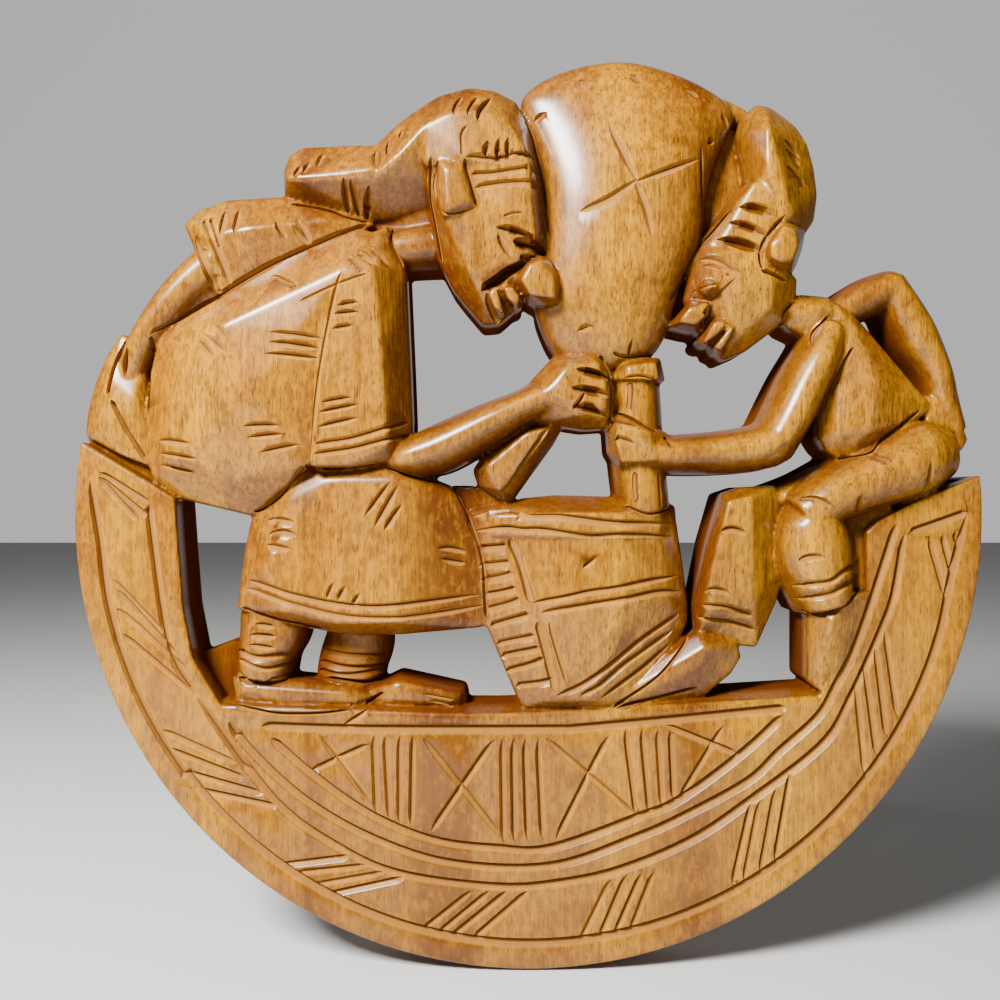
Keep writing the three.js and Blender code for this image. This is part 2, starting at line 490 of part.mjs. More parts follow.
// Border lines, hatching and the crossed panels of the crescent rim.
function rimPattern() {
  const outerBand = [
    [-102, -56], [-78.5, -87.5], [-39.5, -110.5], [-9, -114.5], [28.5, -109], [68, -88],
    [90.5, -70.5], [99.5, -56], [109, -35], [116, -5.5],
  ];
  const innerBand = [
    [-92.5, -63.5], [-69, -87.5], [-49, -99], [-24.5, -107], [6.5, -108], [33.5, -99],
    [68, -81.5], [89.5, -61.5], [100.5, -41.5], [110, -13.5], [113.5, -2.5],
  ];
  const panelBottom = [
    [-79.5, -68.5], [-67, -79.5], [-49, -92], [-29.5, -100], [-10, -102.5], [6.5, -102.5],
    [33.5, -93], [65.5, -73.5], [78.5, -61.5],
  ];
  const panelTop = [[-82.5, -65], [-49, -66], [6.5, -66], [50, -62.5], [79.5, -59.5]];
  return [
    line(rimBorder(), BORDER_STEPS), line(outerBand, 10), line(innerBand, 10),
    line(panelBottom, 8), line(panelTop, 2),
    line([[117, -5.5], [135.5, 1]]), line([[-117, 3.5], [-111, -38], [-103.5, -53]], 3),
    ...hatch([[-132.5, 13.5], [-116.5, 3.5]], [[-132.5, 9.5], [-119, -4]], 3),
    ...hatch([[-128.5, -19.5], [-111, -38]], [[-126, -36], [-103.5, -55]], 4),
    ...hatch([[-114, -66], [-89.5, -77]], [[-104.5, -84], [-76.5, -90]], 4),
    ...hatch([[-78, -108], [-54, -105]], [[-63, -117], [-37.5, -111.5]], 4),
    ...hatch([[-33.5, -128.5], [-17, -115.5]], [[-17.5, -131], [0.5, -115.5]], 4),
    ...hatch([[25.5, -112], [16, -131.5]], [[39, -109.5], [31.5, -128.5]], 4),
    ...hatch([[69, -88], [63, -114.5]], [[81, -78.5], [76, -107]], 4),
    ...hatch([[101, -50], [104, -80.5]], [[110, -34.5], [114, -62.5]], 4),
    ...hatch([[123.5, -6.5], [129, -25.5]], [[131.5, -4], [132.5, -9.5]], 3),
    ...hatch([[-47.5, -67.5], [-46.5, -92]], [[-35.5, -67.5], [-36, -96]], 4),
    ...hatch([[-8, -68.5], [-7.5, -101]], [[3, -68.5], [4.5, -100]], 4),
    ...hatch([[30, -65.5], [33.5, -93]], [[44, -65.5], [45, -88]], 4),
    line([[-64, -67.5], [-48, -89]]), line([[-67.5, -79], [-49, -70.5]]),
    line([[-32.5, -68.5], [-8.5, -99]]), line([[-10.5, -69], [-30, -97.5]]),
    line([[5, -68.5], [33.5, -93]]), line([[25, -67.5], [8.5, -100]]),
    line([[41.5, -64.5], [65, -74]]), line([[60.5, -64.5], [46.5, -87.5]]),
    nick([[-57.5, -65], [-47.5, -59]]),
  ];
}

// Hems, cuffs and the short chisel nicks of the big woman's dress.
function bigWomanCuts() {
  return [
    line([[-100.5, 92], [-97, 84.5], [-92, 71.5]]), line([[-103.5, 84.5], [-99, 75], [-94, 66.5]]),
    nick([[-89.5, 95], [-90, 86]]), nick([[-94, 94.5], [-94.5, 85]]),
    nick([[-72.5, 89], [-67, 82.5]]), nick([[-71, 91.5], [-66.5, 82.5]]),
    nick([[-100.5, 53], [-94.5, 47]]), nick([[-98.5, 55], [-90, 48]]), nick([[-95, 57.5], [-90.5, 52.5]]),
    ...hatch([[-78, 55], [-61.5, 53]], [[-79.5, 48.5], [-62.5, 47]], 3),
    ...hatch([[-86, 27], [-74.5, 27]], [[-81.5, 19], [-69, 21.5]], 3),
    ...hatch([[-114, 23], [-102, 21.5]], [[-113, 15.5], [-102, 13]], 3),
    nick([[-54.5, 79], [-48, 73]]), nick([[-51.5, 80.5], [-45.5, 75]]), nick([[-48, 82], [-42.5, 76]]),
    nick([[-57.5, 63], [-51, 64]]), nick([[-58.5, 60.5], [-51, 61]]), nick([[-59, 56], [-52.5, 57]]),
    ...hatch([[-62.5, 34], [-53, 35.5]], [[-64, 26.5], [-51, 29.5]], 3),
    line([[-64.5, 21.5], [-54, 23], [-42.5, 26.5], [-36.5, 29]], 3),
    line([[-65, 18.5], [-54, 20], [-42.5, 23], [-36, 25]], 3),
    line([[-86.5, -20], [-78, -22.5], [-62.5, -26], [-48.5, -27.5], [-34, -26.5], [-14.5, -24.5]], 6),
    line([[-87.5, -22.5], [-75.5, -26], [-58.5, -30], [-43.5, -31], [-29, -30], [-13.5, -28]], 6),
    ...hatch([[-80.5, -1.5], [-71, -2.5]], [[-80.5, -9], [-72, -10.5]], 3),
    nick([[-42, 10.5], [-50, -0.5]]), nick([[-39.5, 9.5], [-47, -4]]), nick([[-38.5, 3.5], [-44, -5]]),
    line([[-92.5, -41.5], [-84.5, -44], [-73, -43]]), line([[-90.5, -45], [-81, -47.5], [-71.5, -45]]),
    line([[-65, -43], [-56, -44], [-43, -44.5]]), line([[-66, -46.5], [-56, -48], [-44, -48]]),
  ];
}

// Bands of the big headdress, the eye, the mouth and the fingers of the hand on the pestle.
function bigHeadCuts() {
  return [
    ...hatch([[-70, 108], [-72, 103.5]], [[-63.5, 112], [-65, 106.5]], 3),
    nick([[-56.5, 103], [-56, 93.5]]), nick([[-54, 102.5], [-53, 92.5]]), nick([[-49, 101], [-50, 91.5]]),
    ...hatch([[-19, 125.5], [-21, 120.5]], [[-11.5, 125], [-15, 119.5]], 3),
    line([[-18, 106.5], [-9, 106.5], [1.5, 109]]), line([[-18, 102], [-9, 103], [1.5, 105]]),
    line([[-16, 97.5], [-9, 99], [2.5, 100.5]]),
    nick([[-9.5, 87], [-4.5, 85.5], [1, 84]]),
    nick([[-9.5, 86.5], [-10, 82.5], [-8.5, 79], [-6, 76.5]]),
    nick([[-9, 70], [-8, 66], [-5, 63]]),
    nick([[14.5, 43.5], [19, 43], [24, 41]]), nick([[13, 38.5], [18, 37.5], [25, 37]]),
  ];
}

// Bands of the small headdress, the eye and the fingers of the small hand.
function smallHeadCuts() {
  return [
    nick([[64, 93], [68.5, 93], [73.5, 91]]), nick([[63.5, 88], [66.5, 86.5], [70.5, 85]]),
    nick([[59.5, 83.5], [65, 81.5], [70.5, 80.5]]),
    ...hatch([[78, 114.5], [83.5, 109.5]], [[78, 106], [85.5, 101]], 3),
    nick([[53.5, 76.5], [59, 76.5], [63.5, 73]]), nick([[63, 72.5], [60.5, 69], [57, 66], [52.5, 66]]),
    ...hatch([[25, 29], [29.5, 25.5]], [[24.5, 20], [30, 17.5]], 3),
  ];
}

// Lines on the mortar, the pestles and the crown.
function middleCuts() {
  return [
    line([[-17.5, -0.5], [-9, 1], [0.5, -0.5], [15.5, -1], [28, -2], [44, -1]], 4),
    line([[-16.5, -5], [-9, -4], [9.5, -5.5], [21.5, -6.5], [44, -6]], 4),
    line([[-6, -7], [-2, -18], [0.5, -29]]), line([[1.5, -32], [6.5, -42], [9.5, -52.5]]),
    line([[1.5, -27.5], [14, -24.5], [27, -22], [46, -18.5]], 3),
    line([[3.5, -30.5], [15.5, -28.5], [28, -26], [46.5, -23]], 3),
    line([[9, -54.5], [21.5, -46.5], [32, -38.5], [45.5, -31.5]], 3),
    line([[15, -56], [25, -49.5], [38, -41], [45, -35]], 3),
    ...hatch([[-15, -11], [-6.5, -9.5]], [[-3, -53.5], [8, -50.5]], 11),
    line([[6, 26.5], [-1, 17], [-9, 5.5]]),
    line([[32, 13], [32, 5]]), line([[40, 13], [40.5, 1]]),
    nick([[15, 91], [32.5, 99], [51, 107.5]]), nick([[24, 118.5], [29.5, 106.5], [36, 88]]),
  ];
}

// Anklets and nicks on the smaller woman's legs.
function smallWomanCuts() {
  return [
    nick([[121, 16.5], [121.5, 11], [121, 5]]),
    nick([[81, -14], [84, -12.5], [88.5, -12.5]]),
    nick([[99.5, 6.5], [100, 3.5], [100.5, -2]]),
    line([[80.5, -21.5], [90, -20], [95, -17], [102, -14.5]], 3),
    line([[81.5, -25.5], [90, -24], [95, -21.5], [102, -18.5]], 3),
    nick([[58, -5], [61.5, -4], [66, -5.5]]), nick([[53.5, -23.5], [56.5, -22.5], [61.5, -24]]),
    line([[53, -27.5], [60, -28], [69, -31]]), line([[52, -31.5], [60, -32.5], [70, -35.5]]),
    line([[51.5, -36], [58.5, -38], [68.5, -38.5]]),
  ];
}

const cuts = join([
  ...rimPattern(), ...bigWomanCuts(), ...bigHeadCuts(), ...middleCuts(),
  ...smallHeadCuts(), ...smallWomanCuts(),
]);

const plaque = new THREE.Mesh(geometryOf(soundPiece(board.subtract(cuts))), WOOD);
plaque.name = "carved_plaque";

const group = new THREE.Group();
group.add(plaque);

export default group;
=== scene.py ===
"""Looks of a round openwork wall plaque, cut from one board with a knife and varnished.

The carving is one piece. Its masses are set out on the face of the board in millimetres: x to the
right, z up, and height h above the flat back. They are softened as a knife leaves them, joined,
and cut with the lines and nicks of the V-shaped chisel.
"""

import logging
import math
import random
from collections.abc import Sequence
from dataclasses import dataclass
from enum import Enum

import bpy
import numpy as np
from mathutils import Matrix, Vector
from mathutils.bvhtree import BVHTree


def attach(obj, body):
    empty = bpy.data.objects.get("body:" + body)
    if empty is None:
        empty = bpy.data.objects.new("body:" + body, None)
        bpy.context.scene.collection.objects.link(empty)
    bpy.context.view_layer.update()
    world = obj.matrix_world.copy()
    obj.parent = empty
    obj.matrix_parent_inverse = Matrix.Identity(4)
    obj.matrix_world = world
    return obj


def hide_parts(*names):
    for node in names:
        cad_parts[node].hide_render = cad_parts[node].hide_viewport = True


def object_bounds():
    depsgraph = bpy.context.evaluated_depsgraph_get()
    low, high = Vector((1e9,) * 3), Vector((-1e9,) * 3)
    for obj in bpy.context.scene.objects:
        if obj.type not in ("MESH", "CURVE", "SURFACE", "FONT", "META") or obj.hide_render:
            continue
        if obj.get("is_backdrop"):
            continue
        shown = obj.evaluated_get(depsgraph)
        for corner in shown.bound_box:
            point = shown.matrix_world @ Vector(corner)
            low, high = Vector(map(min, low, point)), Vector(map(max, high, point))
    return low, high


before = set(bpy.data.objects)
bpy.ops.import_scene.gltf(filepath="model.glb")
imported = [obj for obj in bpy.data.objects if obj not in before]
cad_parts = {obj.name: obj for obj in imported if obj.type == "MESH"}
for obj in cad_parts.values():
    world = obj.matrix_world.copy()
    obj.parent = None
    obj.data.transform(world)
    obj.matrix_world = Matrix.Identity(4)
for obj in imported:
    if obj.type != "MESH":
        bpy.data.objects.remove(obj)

LOG = logging.getLogger("plaque")

MM = 0.001
NODE = "carved_plaque"

PLAQUE_RADIUS = 140.0
RIM_THICKNESS = 20.0
RIM_EDGE_ROUNDING = 0.9
RIM_ARC_STEPS = 170
LEDGE_BACK_HEIGHT = 12.0
LEDGE_RISE = 2.2
UNDERCUT = 3.0
WORK_GRAIN = 0.55
HOLLOW_PASSES = 12
FINISHED_TRIANGLES = 190_000

Spot = tuple[float, float]
Corner = tuple[float, float, float]
Station = tuple[float, float, float, float]

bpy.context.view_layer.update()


class Softness(Enum):
    """How far the knife rounded a mass: the reach of the rounding in millimetres."""

    KEEN = 0.5
    KNIFE = 1.0
    WORN = 1.5
    ROUND = 2.6


class Edge(Enum):
    """How a chisel stroke is made: width, depth, share at full depth, and lean of its bottom."""

    BAND = (3.5, 1.55, 0.94, 0.5)
    HATCH = (2.7, 1.3, 0.7, 0.5)
    LINE = (2.8, 1.35, 0.7, 0.5)
    FINE = (1.5, 0.9, 0.6, 0.3)
    NICK = (2.6, 1.5, 0.3, 0.4)
    LEAF = (3.2, 1.3, 0.05, 0.3)
    WEDGE = (2.8, 2.4, 0.15, 0.3)
    SEAM = (1.7, 2.0, 0.8, 0.0)


def on_board(x: float, z: float, h: float) -> Vector:
    """A place on the board.

    Args:
        x: Millimetres to the right.
        z: Millimetres up.
        h: Millimetres above the flat back.

    Returns:
        The place in metres, in the row's frame.
    """
    return Vector((x * MM, -h * MM, z * MM))


def spline(points: Sequence[Sequence[float]], per_span: int) -> list[tuple[float, ...]]:
    """Runs a smooth curve through points of any dimension.

    Args:
        points: The points that it passes through.
        per_span: Steps between two of them.

    Returns:
        The points of the curve, ends included.
    """
    if len(points) < 3:
        first, last = points[0], points[-1]
        return [
            tuple(a + (b - a) * i / per_span for a, b in zip(first, last)) for i in range(per_span + 1)
        ]
    padded = [points[0], *points, points[-1]]
    run: list[tuple[float, ...]] = []
    for i in range(len(points) - 1):
        before, start, end, after = padded[i : i + 4]
        for step in range(per_span):
            t = step / per_span
            run.append(
                tuple(
                    0.5
                    * (
                        2 * b
                        + (c - a) * t
                        + (2 * a - 5 * b + 4 * c - d) * t * t
                        + (3 * b - a - 3 * c + d) * t**3
                    )
                    for a, b, c, d in zip(before, start, end, after)
                )
            )
    run.append(tuple(points[-1]))
    return run


def select_only(*objects: bpy.types.Object) -> None:
    """Selects these objects alone, the first one active."""
    bpy.ops.object.select_all(action="DESELECT")
    for piece in objects:
        piece.select_set(True)
    bpy.context.view_layer.objects.active = objects[0]


def mesh_object(name: str, points: Sequence[Vector], faces: Sequence[Sequence[int]]) -> bpy.types.Object:
    """Makes an object from points and faces and links it to the scene."""
    mesh = bpy.data.meshes.new(name)
    mesh.from_pydata([tuple(p) for p in points], [], [tuple(f) for f in faces])
    made = bpy.data.objects.new(name, mesh)
    bpy.context.collection.objects.link(made)
    return made


def apply_modifier(target: bpy.types.Object, kind: str, **settings: object) -> None:
    """Adds a modifier, sets it and applies it.

    Args:
        target: The object it works on.
        kind: Blender's name of the modifier.
        **settings: Its values by name.
    """
    select_only(target)
    modifier = target.modifiers.new(kind, kind)
    for key, value in settings.items():
        setattr(modifier, key, value)
    bpy.ops.object.modifier_apply(modifier=modifier.name)


def soften(target: bpy.types.Object, reach: float) -> None:
    """Closes an object into one even skin and rounds its edges.

    Args:
        target: The object, of one or more closed forms.
        reach: How far the rounding reaches, in millimetres.
    """
    apply_modifier(target, "REMESH", mode="VOXEL", voxel_size=WORK_GRAIN * MM, adaptivity=0.0)
    passes = max(1, round(3 * (reach / WORK_GRAIN) ** 2))
    apply_modifier(target, "SMOOTH", factor=0.5, iterations=passes)


def joined(parts: Sequence[bpy.types.Object], name: str) -> bpy.types.Object:
    """Joins objects into one and names it."""
    select_only(*parts)
    if len(parts) > 1:
        bpy.ops.object.join()
    parts[0].name = name
    return parts[0]


def loft(name: str, sections: Sequence[Sequence[Vector]]) -> bpy.types.Object:
    """Makes a closed skin over sections of equal point counts.

    Args:
        name: The object's name.
        sections: Rings of points, one after the other along the run.

    Returns:
        The closed object.
    """
    size = len(sections[0])
    points = [p for section in sections for p in section]
    faces: list[Sequence[int]] = []
    for s in range(len(sections) - 1):
        for i in range(size):
            a, b = s * size + i, s * size + (i + 1) % size
            faces.append((a, b, b + size, a + size))
    faces.append(tuple(range(size - 1, -1, -1)))
    faces.append(tuple(range(len(points) - size, len(points))))
    return mesh_object(name, points, faces)


@dataclass(frozen=True)
class Block:
    """A mass with its corners at their own heights, its walls running to the back."""

    corners: tuple[Corner, ...]

    def solid(self, name: str) -> bpy.types.Object:
        """Makes the block as the hull of its corners and of their feet behind the board."""
        points = [on_board(*corner) for corner in self.corners]
        points += [on_board(x, z, -UNDERCUT) for x, z, _ in self.corners]
        made = mesh_object(name, points, [])
        select_only(made)
        bpy.ops.object.mode_set(mode="EDIT")
        bpy.ops.mesh.select_all(action="SELECT")
        bpy.ops.mesh.convex_hull()
        bpy.ops.object.mode_set(mode="OBJECT")
        return made


@dataclass(frozen=True)
class Boss:
    """A small proud form whose underside stays at its own depth in what carries it."""

    corners: tuple[Corner, ...]
    foot: float

    def solid(self, name: str) -> bpy.types.Object:
        """Makes the boss as the hull of its corners and of their feet."""
        points = [on_board(*corner) for corner in self.corners]
        points += [on_board(x, z, self.foot) for x, z, _ in self.corners]
        made = mesh_object(name, points, [])
        select_only(made)
        bpy.ops.object.mode_set(mode="EDIT")
        bpy.ops.mesh.select_all(action="SELECT")
        bpy.ops.mesh.convex_hull()
        bpy.ops.object.mode_set(mode="OBJECT")
        return made


@dataclass(frozen=True)
class Limb:
    """A rounded limb through stations of x, z, half width and crest height."""

    stations: tuple[Station, ...]
    shoulder: float = 0.5
    arc_steps: int = 14
    per_span: int = 6

    def solid(self, name: str) -> bpy.types.Object:
        """Makes the limb as a skin over D-shaped sections."""
        run = spline(self.stations, self.per_span)
        sections = []
        for i, (x, z, half_width, crest) in enumerate(run):
            before, after = run[max(i - 1, 0)], run[min(i + 1, len(run) - 1)]
            along = Vector((after[0] - before[0], after[1] - before[1])).normalized()
            low = crest * self.shoulder
            section = [(half_width, -UNDERCUT)]
            for step in range(self.arc_steps + 1):
                angle = math.pi * step / self.arc_steps
                section.append((half_width * math.cos(angle), low + (crest - low) * math.sin(angle)))
            section.append((-half_width, -UNDERCUT))
            sections.append([on_board(x - along.y * s, z + along.x * s, h) for s, h in section])
        return loft(name, sections)


@dataclass(frozen=True)
class Dome:
    """A rounded body through level sections of z, left edge, right edge and crest height."""

    levels: tuple[Station, ...]
    shoulder: float = 0.62
    arc_steps: int = 30
    per_span: int = 4

    def solid(self, name: str) -> bpy.types.Object:
        """Makes the body as a skin over level D-shaped sections."""
        sections = []
        for z, left, right, crest in spline(self.levels, self.per_span):
            middle, half, low = 0.5 * (left + right), 0.5 * (right - left), crest * self.shoulder
            section = [on_board(right, z, -UNDERCUT)]
            for step in range(self.arc_steps + 1):
                angle = math.pi * step / self.arc_steps
                height = low + (crest - low) * math.sin(angle)
                section.append(on_board(middle + half * math.cos(angle), z, height))
            section.append(on_board(left, z, -UNDERCUT))
            sections.append(section)
        return loft(name, sections)


@dataclass(frozen=True)
class Mass:
    """Forms that flow into each other, softened as one."""

    name: str
    forms: tuple[Block | Boss | Limb | Dome, ...]
    softness: Softness = Softness.KNIFE

    def build(self) -> bpy.types.Object:
        """Joins the forms, closes them into one skin and softens it."""
        parts = [form.solid(f"{self.name} {i}") for i, form in enumerate(self.forms)]
        body = joined(parts, self.name)
        soften(body, self.softness.value)
        apply_modifier(body, "DISPLACE", direction="NORMAL", mid_level=0.0, strength=0.35 * MM)
        return body


@dataclass(frozen=True)
class Cut:
    """One chisel stroke along a path on the face."""

    path: tuple[Spot, ...]
    edge: Edge = Edge.LINE
    weight: float = 1.0


def strokes(edge: Edge, *paths: tuple[Spot, ...], weight: float = 1.0) -> list[Cut]:
    """Makes one cut of each path, all with the same edge."""
    return [Cut(path, edge, weight) for path in paths]


class BigFigure:
    """The big woman on the left, bent over the mortar."""

    def masses(self) -> list[Mass]:
        """The masses of her body, dress, feet and head."""
        return [*self._upper_body(), *self._arms(), *self._lower_body(), *self._head()]

    def _upper_body(self) -> list[Mass]:
        """Her torso and the two sleeves."""
        far_sleeve = Block((
            (-107.5, 91, 15), (-102.5, 95.5, 15), (-94, 98.5, 15), (-76, 99.5, 15), (-60.5, 95.5, 15),
            (-48, 91, 16), (-56.5, 85, 19), (-73.5, 79, 19), (-93, 69.5, 18), (-95.5, 67.5, 17),
            (-101, 76, 15), (-98.5, 86, 21), (-85, 87.5, 23), (-62.5, 90.5, 21),
        ))
        torso = Block((
            (-119, 19, 17), (-118.5, 32, 17), (-117.5, 43.5, 17), (-115, 54.5, 17), (-107.5, 60.5, 18),
            (-94.5, 67.5, 19), (-73.5, 79.5, 20), (-52, 88.5, 20), (-42, 85, 20), (-56, 65, 27),
            (-64.5, 35, 27), (-67.5, 14.5, 25), (-74, 10, 18), (-86, 0, 17), (-96, 2.5, 17),
            (-108.5, 5.5, 17), (-116.5, 11, 17),
            (-91.5, 57, 28), (-55, 74, 28.5), (-102, 49.5, 25), (-108.5, 35, 24), (-107, 18.5, 24.5),
            (-89.5, 11.5, 24), (-72, 16.5, 26), (-82, 37.5, 29.5), (-68.5, 55.5, 29.5),
        ))
        near_sleeve = Block((
            (-56, 73.5, 28.5), (-51, 84.5, 23), (-44, 89.5, 19), (-41, 82, 19), (-38, 76.5, 19),
            (-36.5, 42, 18), (-36, 28, 18), (-37, 21, 18), (-43, 16.5, 22), (-54, 15, 26),
            (-66, 15, 27), (-62.5, 49.5, 29), (-47, 73, 28.5), (-44.5, 46.5, 28.5), (-43, 21.5, 26.5),
        ))
        return [
            Mass("far sleeve", (far_sleeve,), Softness.KNIFE),
            Mass("torso and near sleeve", (torso, near_sleeve), Softness.KNIFE),
        ]

    def _arms(self) -> list[Mass]:
        """Her forearms and hands."""
        far_forearm = Limb((
            (-96.5, 80.5, 7.5, 20), (-106, 72.5, 7, 20), (-113.5, 64, 6.5, 20),
            (-121.5, 52.5, 5.5, 19), (-126, 40.5, 5.5, 16),
        ))
        elbow_web = Block((
            (-117, 51, 12), (-107.5, 59.5, 12), (-94.5, 67, 13), (-96, 78, 17), (-106, 71.5, 18),
            (-115, 60.5, 17),
        ))
        far_hand = Block((
            (-128, 57, 13), (-132.5, 50.5, 13), (-136, 42, 13), (-138, 33, 14), (-138.5, 25, 15),
            (-127, 19, 17), (-117, 15, 17), (-119, 32, 15), (-120.5, 53.5, 13),
            (-129.5, 42, 17), (-130.5, 29.5, 18), (-122, 36, 18),
        ))
        wrist_web = Block((
            (-138.5, 25, 13), (-127, 21, 14), (-117, 16, 14), (-108, 9.5, 14), (-110, 6, 13),
            (-116, 4.5, 13), (-123, 7, 13), (-137, 14, 13),
        ))
        near_forearm = Limb((
            (-43, 16, 3, 22), (-38.5, 17.5, 5.5, 26), (-27, 21, 7.5, 28), (-12, 28.5, 6.5, 29),
            (-1.5, 33.5, 5.5, 28.5), (5.5, 36.5, 6.5, 28),
        ))
        near_hand = Block((
            (0.5, 41, 20), (4, 44.5, 20), (8, 49, 20), (19.5, 50.5, 20), (23, 49, 20), (26, 43.5, 20),
            (26, 29.5, 20), (24, 27, 20), (17, 26.5, 20), (8, 28, 20), (1, 29, 20),
            (4.5, 37, 28), (11.5, 44.5, 28), (20.5, 46, 26.5), (23, 39.5, 27), (23, 32.5, 26.5),
            (14, 30.5, 26.5), (9, 36, 29),
        ))
        return [
            Mass("far forearm", (far_forearm, elbow_web), Softness.KNIFE),
            Mass("far hand", (far_hand, wrist_web), Softness.KNIFE),
            Mass("near forearm and hand", (near_forearm, near_hand), Softness.KNIFE),
        ]

    def _lower_body(self) -> list[Mass]:
        """Her skirt, legs and feet."""
        skirt = Block((
            (-70.5, 14.5, 19), (-43.5, 16.5, 19), (-30.5, 10.5, 18), (-24.5, 9, 17), (-21, 5, 17),
            (-17, -6.5, 17), (-14.5, -18.5, 17), (-13.5, -29, 17), (-13.5, -34.5, 17), (-20, -35, 18),
            (-39.5, -36.5, 20), (-59, -36, 20), (-74, -33.5, 19), (-90.5, -29, 17), (-89.5, -21.5, 17),
            (-88, -9, 16), (-86, 0, 16), (-79, 6, 17),
            (-73, 5, 22), (-60.5, 11, 23.5), (-41, 11, 24.5), (-30, 6, 20), (-21, -25, 19.5),
            (-40, -31.5, 27), (-57, -32, 26.5), (-73, -28.5, 25), (-79, -13.5, 23.5),
        ))
        left_leg = Limb((
            (-80.5, -27.5, 10, 19), (-80.5, -35.5, 10.5, 19.5), (-82.5, -43, 9, 20), (-83.5, -51, 8.5, 19),
        ))
        right_leg = Limb((
            (-53.5, -33.5, 9.5, 15), (-54, -40.5, 10.5, 15), (-56, -47, 10.5, 15), (-57, -54, 10.5, 14),
        ))
        left_foot = Block((
            (-92.5, -50.5, 15), (-75.5, -51.5, 15), (-55.5, -53.5, 15), (-48.5, -56.5, 14),
            (-49.5, -59.5, 14), (-55, -61.5, 15), (-77.5, -61.5, 15), (-91.5, -58, 15),
            (-87.5, -53.5, 18), (-57, -55.5, 18), (-54, -57.5, 17.5), (-75.5, -57.5, 17.5),
        ))
        right_foot = Block((
            (-51, -55.5, 13), (-40.5, -50.5, 13), (-20, -55, 13), (-19, -58.5, 13), (-22, -61, 14),
            (-45.5, -60, 14), (-40.5, -52.5, 17), (-23, -55.5, 17), (-24.5, -58, 17), (-43, -57, 17),
        ))
        heel_web = Block(((-103.5, -44, 9), (-93, -40, 9), (-91, -56, 9), (-96, -62, 9)))
        return [
            Mass("skirt", (skirt,), Softness.WORN),
            Mass("left leg", (left_leg,), Softness.KNIFE),
            Mass("right leg", (right_leg,), Softness.KNIFE),
            Mass("left foot", (left_foot,), Softness.KNIFE),
            Mass("right foot", (right_foot,), Softness.KNIFE),
            Mass("heel web", (heel_web,), Softness.KEEN),
        ]

    def _head(self) -> list[Mass]:
        """Her head in profile, with the wrapped headdress and its long tail."""
        neck = Limb(((-48, 82, 6, 20), (-36.5, 83.5, 6.5, 20.5), (-24, 85, 7.5, 20)))
        neck_web = Block(((-51, 92, 12), (-30, 99, 15), (-28.5, 88, 15), (-48, 86, 15)))
        tail = Block((
            (-76, 99, 14), (-76, 107, 16), (-74.5, 112, 16), (-70.5, 114.5, 16), (-58.5, 115, 16),
            (-46, 115, 17), (-44, 102.5, 23), (-48.5, 92.5, 14), (-59, 94.5, 14),
            (-74, 103.5, 21), (-70, 103, 22.5), (-57, 103, 23.5), (-47, 105, 24.5),
        ))
        twist = Block((
            (-48, 114.5, 17), (-43.5, 117, 17), (-40, 121.5, 18), (-34, 125.5, 19), (-45.5, 104, 25),
            (-39, 108.5, 27), (-30.5, 117.5, 28), (-31, 102.5, 21), (-30.5, 96, 15), (-45, 92.5, 14),
            (-49, 92.5, 14),
        ))
        cap = Block((
            (-40, 121.5, 18), (-34, 125.5, 19), (-27.5, 129.5, 19), (-18, 132, 19), (-10.5, 131, 19),
            (-4, 128, 18), (0, 121, 17), (2.5, 111.5, 17), (-31, 105.5, 27), (-27, 106, 28),
            (-18.5, 106, 30), (2.5, 108, 20), (-30.5, 117.5, 28), (-23.5, 120.5, 29),
            (-15.5, 120.5, 29.5), (-7, 117.5, 29.5), (-1.5, 109, 29.5),
        ))
        head = Block((
            (-31, 101.5, 24), (-29, 92.5, 23), (-27.5, 78.5, 19), (-23, 70, 18), (-19.5, 65.5, 18),
            (-14, 59, 18), (-9, 59.5, 19), (-4.5, 63.5, 19), (3.5, 76.5, 18), (6.5, 84.5, 17),
            (5.5, 96.5, 17), (3, 110, 17), (-30, 106, 26), (-18.5, 107, 29), (-0.5, 108.5, 28),
            (-25.5, 90.5, 27), (0.5, 94, 29), (1.5, 84, 27.5), (-18, 74.5, 27.5), (-13.5, 65.5, 24.5),
        ))
        ear = Boss((
            (-27, 106.5, 28.5), (-20, 106.5, 28.5), (-18, 100.5, 28.5), (-15.5, 92.5, 28.5), (-20, 91, 28),
            (-25.5, 89.5, 28), (-27.5, 94.5, 28), (-27.5, 101.5, 28),
            (-25, 103, 30.5), (-20.5, 102.5, 30.5), (-18.5, 94, 30.5), (-24.5, 91.5, 30.5),
        ), 10)
        nose = Block((
            (-4.5, 73.5, 22), (-1.5, 76.5, 23), (1, 78.5, 23), (4, 79, 24), (6.5, 76.5, 25), (8.5, 73, 25.5),
            (9, 69.5, 25.5), (8.8, 64.5, 25.5), (5, 64, 24), (0.5, 66, 22), (-1.5, 67.5, 22), (-3.5, 70.5, 22),
            (-2, 70.5, 29.5), (0.5, 75, 29.5), (3.5, 76, 29), (7, 71, 29), (7.5, 65.5, 29), (0.5, 66.3, 29.5),
        ))
        upper_lip = Block((
            (-13, 68.5, 20), (-10.5, 71, 20), (-9, 71, 20), (-8, 66.5, 20), (-7, 63.5, 20), (-8, 61, 20),
            (-9.5, 61, 20), (-12, 64.5, 20), (-12, 67, 26.5), (-10, 68.5, 26.5), (-9, 63.5, 26),
            (-8, 61.5, 25.5), (-10, 63, 26),
        ))
        lower_lip = Block((
            (-9, 71, 20), (-4.5, 71, 20), (-2.5, 67.5, 20), (-2, 65, 20), (-3.5, 63.5, 20), (-5.5, 65, 20),
            (-7.5, 67.5, 20), (-7.5, 68.5, 27), (-5, 68.5, 27), (-3, 65.5, 26.5), (-4, 63.5, 26),
            (-6, 65.5, 26.5),
        ))
